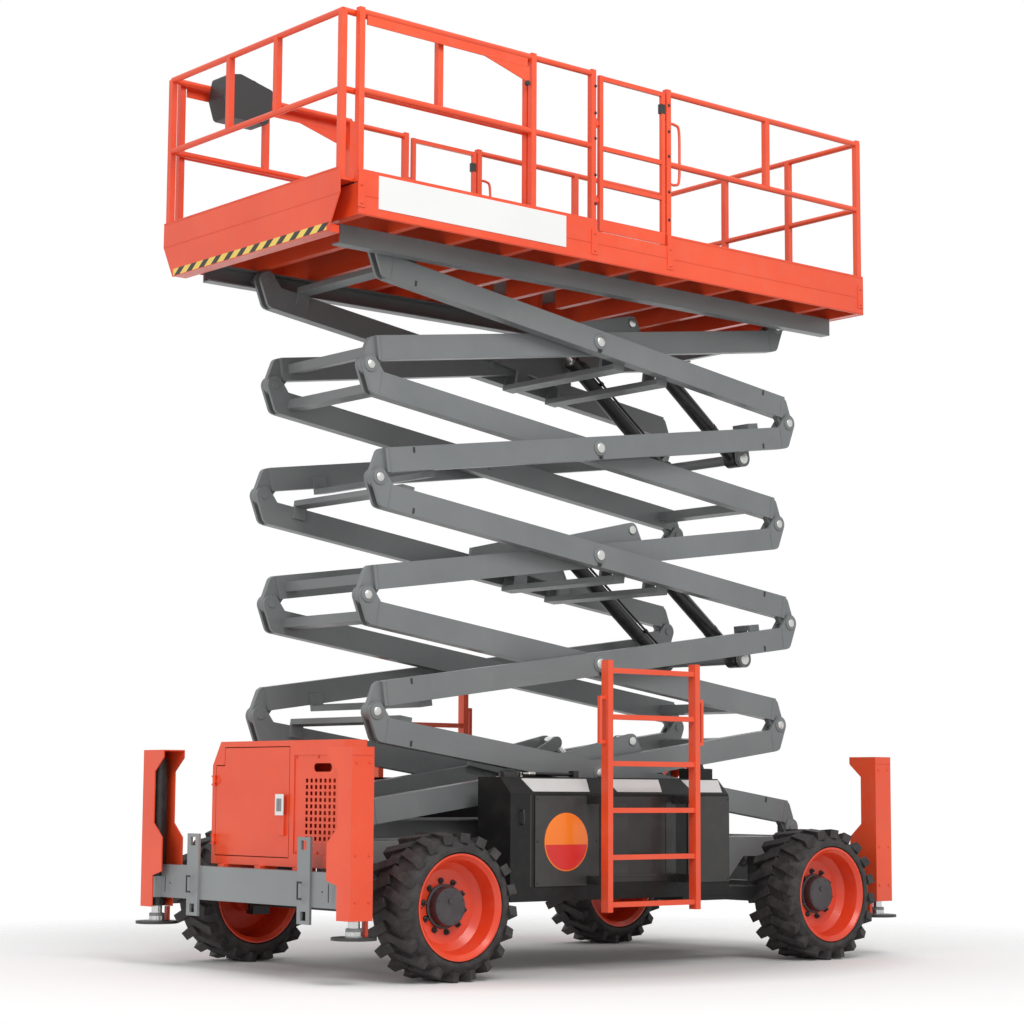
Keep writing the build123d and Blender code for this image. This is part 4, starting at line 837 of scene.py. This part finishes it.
disc = Part("pod_disc", warning_orange, "chassis")
disc.turned((DISC_X, POD_FACE + 0.0060, DISC_Z), (0, 1, 0),
            ((0, DISC_RADIUS), (0.0016, DISC_RADIUS), (0.002, DISC_RADIUS - 0.001)), 64)
disc.done()
disc_low = Part("pod_disc_low", grip_red, "chassis")
turns = [math.pi * (1.03 + 0.94 * step / RED_STEPS) for step in range(RED_STEPS + 1)]
disc_low.outline([(DISC_X + RED_RADIUS * math.cos(turn), POD_FACE + 0.0079,
                   DISC_Z + RED_RADIUS * math.sin(turn)) for turn in turns], (0, 0.0006, 0))
disc_low.done()
print("round plate", 2 * DISC_RADIUS, "m across")

# %% [markdown]
# A low sill runs under the pod's rear end, screws hold the covers, and a bent rod beside
# them is the pod's handle. The sill steps up at its rear, so it is one outline seen from
# the side and thickened inward, where two blocks would show a joint.

# %% Sill, screws and handle
SILL = ((-0.400, 0.388), (-1.020, 0.388), (-1.055, 0.420), (-1.055, 0.466),
        (-0.780, 0.466), (-0.780, 0.430), (-0.400, 0.430))               # X and Z
SCREWS = (((0.318, 0.782), (0.52, 0.76, 1.005)), ((-0.785, -0.455), (0.52, 1.005)))
HANDLE_X, HANDLE_OUT = 0.900, 0.020

sill = Part("pod_sill", pod_black, "chassis")
sill.outline([(x, POD_FACE - 0.002, z) for x, z in SILL], (0, -0.250, 0))
sill.done()
pod_screws = Part("pod_screws", steel_black, "chassis")
for xs, zs in SCREWS:
    for x in xs:
        for z in zs:
            pod_screws.bolt((x, POD_FACE + COVER_OUTER, z), (0, 1, 0), 0.005)
handle = ((0, 0.86), (HANDLE_OUT, 0.865), (HANDLE_OUT, 0.935), (0, 0.94))
pod_screws.pipe([(HANDLE_X, POD_FACE + out, z) for out, z in handle], 0.005)
pod_screws.done()
print("sill and screws done")

# %% [markdown]
# ## On top of the near pod
#
# A strut lies along the top with a bright fitting at its end, beside a round filler cap.
# They could be cylinders, but pipes and turned pieces also give the narrower end of the
# fitting and the step in the cap. Only the strut's foot is a block.

# %% Strut, cap and fittings
STRUT_Y, STRUT_Z = 0.735, 1.152
FILLER_CAP = ((0, 0.060), (0.030, 0.060), (0.042, 0.040), (0.048, 0.012))
STRUT_END = ((0, 0.014), (0.045, 0.014), (0.048, 0.009), (0.09, 0.009))

pod_top = Part("pod_top_gear", steel_black, "chassis")
pod_top.pipe([(0.30, STRUT_Y, STRUT_Z - 0.002), (0.62, STRUT_Y, STRUT_Z)], 0.010)
pod_top.block((0.285, 0.712, 1.130), (0.325, 0.758, 1.172))
pod_top.turned((0.78, 0.690, 1.131), (0, 0, 1), FILLER_CAP, 24)
pod_top.done()
pod_fittings = Part("pod_top_fittings", zinc, "chassis")
pod_fittings.turned((0.62, STRUT_Y, STRUT_Z), (1, 0, 0), STRUT_END, 12)
pod_fittings.turned((0.705, 0.712, 1.131), (0, 0, 1), ((0, 0.012), (0.03, 0.012)), 6)
pod_fittings.done()
print("pod top done")

# %% [markdown]
# At the pod's rear stand the ground controls: four knobs and a red stop button on a plate.
# One outline serves all the knobs. The stop button has one of its own, because it widens
# toward the top, as a mushroom does, so that it can be hit with a flat hand.

# %% Ground controls
PANEL_TOP = 1.1935
KNOB = ((0, 0.014), (0.010, 0.014), (0.012, 0.010), (0.026, 0.009), (0.028, 0.007))
KNOBS = ((-0.735, 0.775), (-0.700, 0.815), (-0.665, 0.775), (-0.625, 0.815))
STOP_BUTTON = ((0, 0.010), (0.012, 0.010), (0.014, 0.019), (0.022, 0.019), (0.026, 0.014))

controls = Part("ground_knobs", control_plastic, "chassis")
for x, y in KNOBS:
    controls.turned((x, y, PANEL_TOP), (0, 0, 1), KNOB, 20)
controls.block((-0.752, 0.752, PANEL_TOP), (-0.578, 0.843, PANEL_TOP + 0.002))
controls.done()
stop = Part("ground_stop", grip_red, "chassis")
stop.turned((-0.600, 0.790, PANEL_TOP + 0.0005), (0, 0, 1), STOP_BUTTON, 24)
stop.done()
print(len(KNOBS), "knobs and a stop button")

# %% [markdown]
# ## Engine side
#
# The far pod's door has two columns of cooling louvres and a latch. A bump in the paint
# could hint at louvres, but they are pressed lips that cast small shadows, so each is a
# small triangle drawn out along the door.

# %% Louvres and latch
DOOR_FACE = -0.949
LOUVRE_COLUMNS, LOUVRE_LENGTH = (0.50, 0.70), 0.155
LOUVRE_ROWS, LOUVRE_FOOT, LOUVRE_PITCH = 9, 0.60, 0.038
DOOR_LOCK = ((0, 0.013), (0.004, 0.013), (0.005, 0.010))

louvres = Part("engine_louvres", cover_grey, "engine_door")
for x in LOUVRE_COLUMNS:
    for row in range(LOUVRE_ROWS):
        z = LOUVRE_FOOT + row * LOUVRE_PITCH
        lip = ((DOOR_FACE, z), (DOOR_FACE, z + 0.022), (DOOR_FACE - 0.008, z + 0.004))
        louvres.outline([(x, *point) for point in lip], (LOUVRE_LENGTH, 0, 0))
louvres.done()
door_latch = Part("engine_latch", steel_black, "engine_door")
door_latch.block((0.438, DOOR_FACE - 0.005, 0.945), (0.478, DOOR_FACE, 0.995))
door_latch.turned((0.458, DOOR_FACE - 0.004, 0.970), (0, -1, 0), DOOR_LOCK, 20)
door_latch.done()
print(len(LOUVRE_COLUMNS) * LOUVRE_ROWS, "louvres")

# %% [markdown]
# ## Platform
#
# The near fascia has a blank white plate, and both have pressed creases along them and
# bolted sockets for the posts. A crease is a bar 7 mm high that stands 2.5 mm proud: enough to
# catch a line of light, as a fold in sheet steel does.

# %% Fascia plate, creases and sockets
FASCIA_FACE, CREASE_HALF = 0.965, 0.0035
CREASES = ((4.372, -2.10, 2.135), (4.266, -2.10, 2.135), (4.512, -2.10, -0.31))    # Z, rear and front end
CREASE_OUT, SOCKET_OUT, SUNK = 0.0025, 0.005, 0.001
SOCKET_X, SOCKET_HALF, SOCKET_Z = (2.121, 0.35, -0.29, -2.075), 0.026, (4.30, 4.455)

plate = Part("fascia_plate", plate_white, "platform")
plate.block((0.585, FASCIA_FACE - 0.0005, 4.308), (2.000, FASCIA_FACE + 0.0040, 4.500))
plate.done()
crease = Part("fascia_crease", orange, "platform")
for side in (1, -1):
    for z, rear, front in CREASES:
        crease.block((rear, side * (FASCIA_FACE - SUNK), z - CREASE_HALF),
                     (front, side * (FASCIA_FACE + CREASE_OUT), z + CREASE_HALF))
    for x in SOCKET_X:
        crease.block((x - SOCKET_HALF, side * (FASCIA_FACE - SUNK), SOCKET_Z[0]),
                     (x + SOCKET_HALF, side * (FASCIA_FACE + SOCKET_OUT), SOCKET_Z[1]))
        for z in (4.325, 4.430):
            crease.bolt((x, side * (FASCIA_FACE + SOCKET_OUT), z), (0, side, 0), 0.008)
crease.done()
print("fascia:", 2 * len(CREASES), "creases,", 2 * len(SOCKET_X), "sockets")

# %% [markdown]
# The hazard stripe runs along the foot of the roll-out deck's front panel. It is a yellow
# band with slanted black bars laid on it, each a four-cornered outline. Real bars are
# stickers, so they are under a millimetre thick.

# %% Hazard stripe
PANEL_FACE = 2.240
STRIPE_PITCH, STRIPE_Z = 0.136, (4.180, 4.222)
STRIPE_HALF, STRIPE_OUT = 0.800, 0.0010
BAR_WIDTH, BAR_SLANT, BAR_THICK = 0.062, 0.056, 0.0006

yellow = Part("hazard_ground", warning_yellow, "rollout")
yellow.block((PANEL_FACE - SUNK, -STRIPE_HALF, STRIPE_Z[0]),
             (PANEL_FACE + STRIPE_OUT, STRIPE_HALF, STRIPE_Z[1]))
yellow.done()
bars = Part("hazard_bars", warning_black, "rollout")
for step in range(-5, 7):
    y = (step - 0.55) * STRIPE_PITCH - 0.034
    corners = ((y, STRIPE_Z[0]), (y + BAR_WIDTH, STRIPE_Z[0]),
               (y + BAR_WIDTH + BAR_SLANT, STRIPE_Z[1]), (y + BAR_SLANT, STRIPE_Z[1]))
    bars.outline([(PANEL_FACE + 0.0009, *corner) for corner in corners], (BAR_THICK, 0, 0))
bars.done()
folds = Part("panel_folds", orange, "rollout")
folds.block((PANEL_FACE - 0.001, -0.915, 4.371), (PANEL_FACE + 0.0022, 0.915, 4.377))
folds.block((PANEL_FACE - 0.001, -0.916, 4.516), (PANEL_FACE + 0.0030, 0.916, 4.523))
folds.done()
print("hazard bars every", STRIPE_PITCH, "m")

# %% [markdown]
# ## Guard rails
#
# A grab loop stands beside each gate, and a black catch holds the gate's free edge. The
# rails meet the posts in square clamps. A clamp could be a block with two corners worked
# out for it, but a turned piece with only four sides is square too and needs one point.

# %% Gate loops, catches and clamps
RAIL_Y = 0.938
LOOP = (                           # X and Z
    (-0.305, 4.86), (-0.36, 4.86), (-0.395, 4.89), (-0.40, 5.05),
    (-0.395, 5.22), (-0.36, 5.25), (-0.305, 5.25))
CLAMP_X, CLAMP_Z = (2.121, 0.835, 0.35, -0.29, -2.079), (5.44, 4.983)
CLAMP = ((0, 0.026), (0.048, 0.026))

for name, side in (("left", 1), ("right", -1)):
    loop = Part(f"gate_loop_{name}", orange, "platform")
    loop.pipe([(x, side * RAIL_Y, z) for x, z in LOOP], 0.009)
    loop.done()
    catch = Part(f"gate_catch_{name}", steel_black, f"gate_{name}")
    catch.block((-0.262, side * 0.925, 5.30), (-0.225, side * 0.952, 5.36))
    catch.done()
    clamps = Part(f"rail_clamps_{name}", orange, "platform")
    for x in CLAMP_X:
        for z in CLAMP_Z:
            clamps.turned((x, side * RAIL_Y, z - 0.024), (0, 0, 1), CLAMP, 4)
    clamps.done()
print(2 * len(CLAMP_X) * len(CLAMP_Z), "rail clamps")

# %% [markdown]
# Dark bolts run up the gate posts. Where the roll-out deck's rails slide past, a long
# orange bracket ends in a small dark roller. The bracket is folded from one strip, so a
# three-cornered outline with a small thickness is all that it needs.

# %% Post bolts and deck catches
POST_FACE = 0.957
post_bolts = Part("post_bolts", steel_black, "platform")
for side in (1, -1):
    for x in (0.337, -0.290):
        for z in (4.62, 4.80, 5.03, 5.19, 5.36):
            post_bolts.bolt((x, side * POST_FACE, z), (0, side, 0), 0.0075)
post_bolts.done()
catches = Part("deck_catches", orange, "platform")
catch_rollers = Part("deck_catch_rollers", steel_black, "platform")
for side in (1, -1):
    bracket = ((1.24, 5.378), (0.862, 5.378), (0.862, 5.275))
    catches.outline([(x, side * 0.941, z) for x, z in bracket], (0, side * 0.006, 0))
    catch_rollers.turned((0.878, side * 0.936, 5.272), (0, side, 0), ((0, 0.016), (0.016, 0.016)), 16)
catches.done()
catch_rollers.done()
print("post bolts and deck catches done")

# %% [markdown]
# The control box on the roll-out rail has a carrying loop and one stick on its top. The
# loop is bent from one rod, so it is a pipe through five points. Both ride on the roll-out
# deck, because the box goes out with it.

# %% Loop and stick of the control box
BOX_Y = -0.79
CARRY_LOOP = ((1.66, 5.44), (1.66, 5.50), (1.70, 5.515), (1.74, 5.50), (1.74, 5.47))      # X and Z
STICK = ((0, 0.022), (0.008, 0.022), (0.012, 0.008), (0.022, 0.008))

hood = Part("console_hood", control_plastic, "rollout")
hood.pipe([(x, BOX_Y, z) for x, z in CARRY_LOOP], 0.010)
hood.turned((1.845, BOX_Y, 5.495), (0.2, 0, 1), STICK, 20)
hood.done()
print("control box done")

# %% [markdown]
# ## Camera
#
# The camera stands low and far away on the near front side, with a long lens. It could
# track an empty at the machine's middle, but its own three directions, worked out from two
# angles and a small roll, hold it still whatever the machine does.

# %% Camera
CAMERA_AT = Vector((9.837, 11.389, 1.053))
CAMERA_YAW, CAMERA_PITCH, CAMERA_ROLL = (math.radians(a) for a in (229.706, 6.735, 0.324))

camera_data = bpy.data.cameras.new("camera")
camera_data.lens, camera_data.sensor_width = 82.9, 36.0
camera_data.clip_end = 200.0
camera = bpy.data.objects.new("camera", camera_data)
scene.collection.objects.link(camera)
scene.camera = camera
forward = Vector((math.cos(CAMERA_YAW) * math.cos(CAMERA_PITCH),
                  math.sin(CAMERA_YAW) * math.cos(CAMERA_PITCH), math.sin(CAMERA_PITCH)))
level_right = Vector((math.sin(CAMERA_YAW), -math.cos(CAMERA_YAW), 0.0))
level_up = level_right.cross(forward)
right = level_right * math.cos(CAMERA_ROLL) + level_up * math.sin(CAMERA_ROLL)
up = level_up * math.cos(CAMERA_ROLL) - level_right * math.sin(CAMERA_ROLL)
turned_to = Matrix((right, up, -forward)).transposed().to_4x4()
camera.matrix_world = Matrix.Translation(CAMERA_AT) @ turned_to
print("camera", round(CAMERA_AT.length, 2), "m from the frame's origin")

# %% [markdown]
# ## World
#
# The machine stands in a white studio. A plain white world would light it too strongly from
# all sides and wash the shadows out. So the world is full white only where the camera or a
# reflection looks at it, and dimmer for the light that it sheds on surfaces.

# %% White world
WORLD_LIGHT = 0.62

world = bpy.data.worlds.new("studio")
scene.world = world
world.use_nodes = True
sky = Graph(world.node_tree)
backdrop = sky.tree.nodes["Background"]
by_camera = sky.node("ShaderNodeLightPath", out="Is Camera Ray")
by_mirror = sky.node("ShaderNodeLightPath", out="Is Glossy Ray")
sky.join(backdrop.inputs["Color"], rgb(1, 1, 1))
sky.join(backdrop.inputs["Strength"], WORLD_LIGHT + by_camera.or_else(by_mirror) * (1 - WORLD_LIGHT))
print("world sheds", WORLD_LIGHT, "of its white")

# %% [markdown]
# ## Lamps
#
# Product studios use softboxes, large lamps whose shadows have soft edges. A sun lamp would
# be simpler, but its hard shadows hide the arms behind each other. A broad key hangs above
# the near side, and a weaker fill stands in front.

# %% Softboxes
LAMP_AIM = Vector((0, 0, 2.6))


def softbox(name, at, size, watts):
    """A square area lamp that points at the machine."""
    lamp = bpy.data.lights.new(name, "AREA")
    lamp.shape, lamp.size, lamp.energy = "SQUARE", size, watts
    stand = bpy.data.objects.new(name, lamp)
    stand.location = at
    stand.rotation_mode = "QUATERNION"
    stand.rotation_quaternion = (LAMP_AIM - Vector(at)).to_track_quat("-Z", "Y")
    scene.collection.objects.link(stand)


softbox("key", (3.0, 10.0, 11.0), size=6.0, watts=900)
softbox("front fill", (11.0, 2.0, 4.0), size=5.0, watts=260)
print(len(bpy.data.lights), "softboxes")

# %% [markdown]
# ## Floor
#
# The floor only darkens under the machine and shows no edge. A curved backdrop would do
# that in a real studio. Here it is a large sheet whose alpha fades out with the distance, so
# that the white world takes over, and whose colour is greyer in an oval under the machine:
# a painted shadow, which deepens the one that the lamps cast.

# %% Floor
FLOOR_SPAN = 60.0
FLOOR_NEAR, FLOOR_FAR = 2.2, 5.6   # the floor fades to white between these distances
# The grey is the colour of the painted shadow under the machine; the white is the open floor.
FLOOR_PAINTED_SHADOW, FLOOR_WHITE = rgb(0.62, 0.61, 0.60), rgb(0.97, 0.965, 0.962)

floor_finish = Finish("studio floor with painted shadow")
length = {"operation": "LENGTH"}
reach = floor_finish.node("ShaderNodeVectorMath", length, {0: floor_finish.place()}, out=1)
solid = floor_finish.ramp((reach - FLOOR_NEAR) * (1 / (FLOOR_FAR - FLOOR_NEAR)), (0.0, 1.0), (1.0, 0.0))
# Painted shadow: an oval under the machine, set toward its near side, where the floor's colour turns grey.
painted_shadow_oval = floor_finish.node("ShaderNodeMapping", {}, {
    "Vector": floor_finish.place(), "Location": (0.0, -0.26, 0.0), "Scale": (0.385, 0.58, 0.0)})
painted_shadow_reach = floor_finish.node("ShaderNodeVectorMath", length, {0: painted_shadow_oval}, out=1)
outside_painted_shadow = floor_finish.ramp(painted_shadow_reach, (0.55, 0.0), (1.20, 1.0))
floor_finish.set({
    "Base Color": floor_finish.mix(outside_painted_shadow, FLOOR_PAINTED_SHADOW, FLOOR_WHITE),
    "Roughness": 0.75 + floor_finish.noise(3.0) * 0.1,
    "Specular IOR Level": 0.2,
    "Alpha": solid,
})
floor_mesh = bpy.data.meshes.new("floor")
corners = [(x * FLOOR_SPAN, y * FLOOR_SPAN, 0) for x, y in ((-1, -1), (1, -1), (1, 1), (-1, 1))]
floor_mesh.from_pydata(corners, [], [(0, 1, 2, 3)])
floor_mesh.materials.append(floor_finish.material)
floor = bpy.data.objects.new("floor", floor_mesh)
scene.collection.objects.link(floor)
print("floor", 2 * FLOOR_SPAN, "m across")
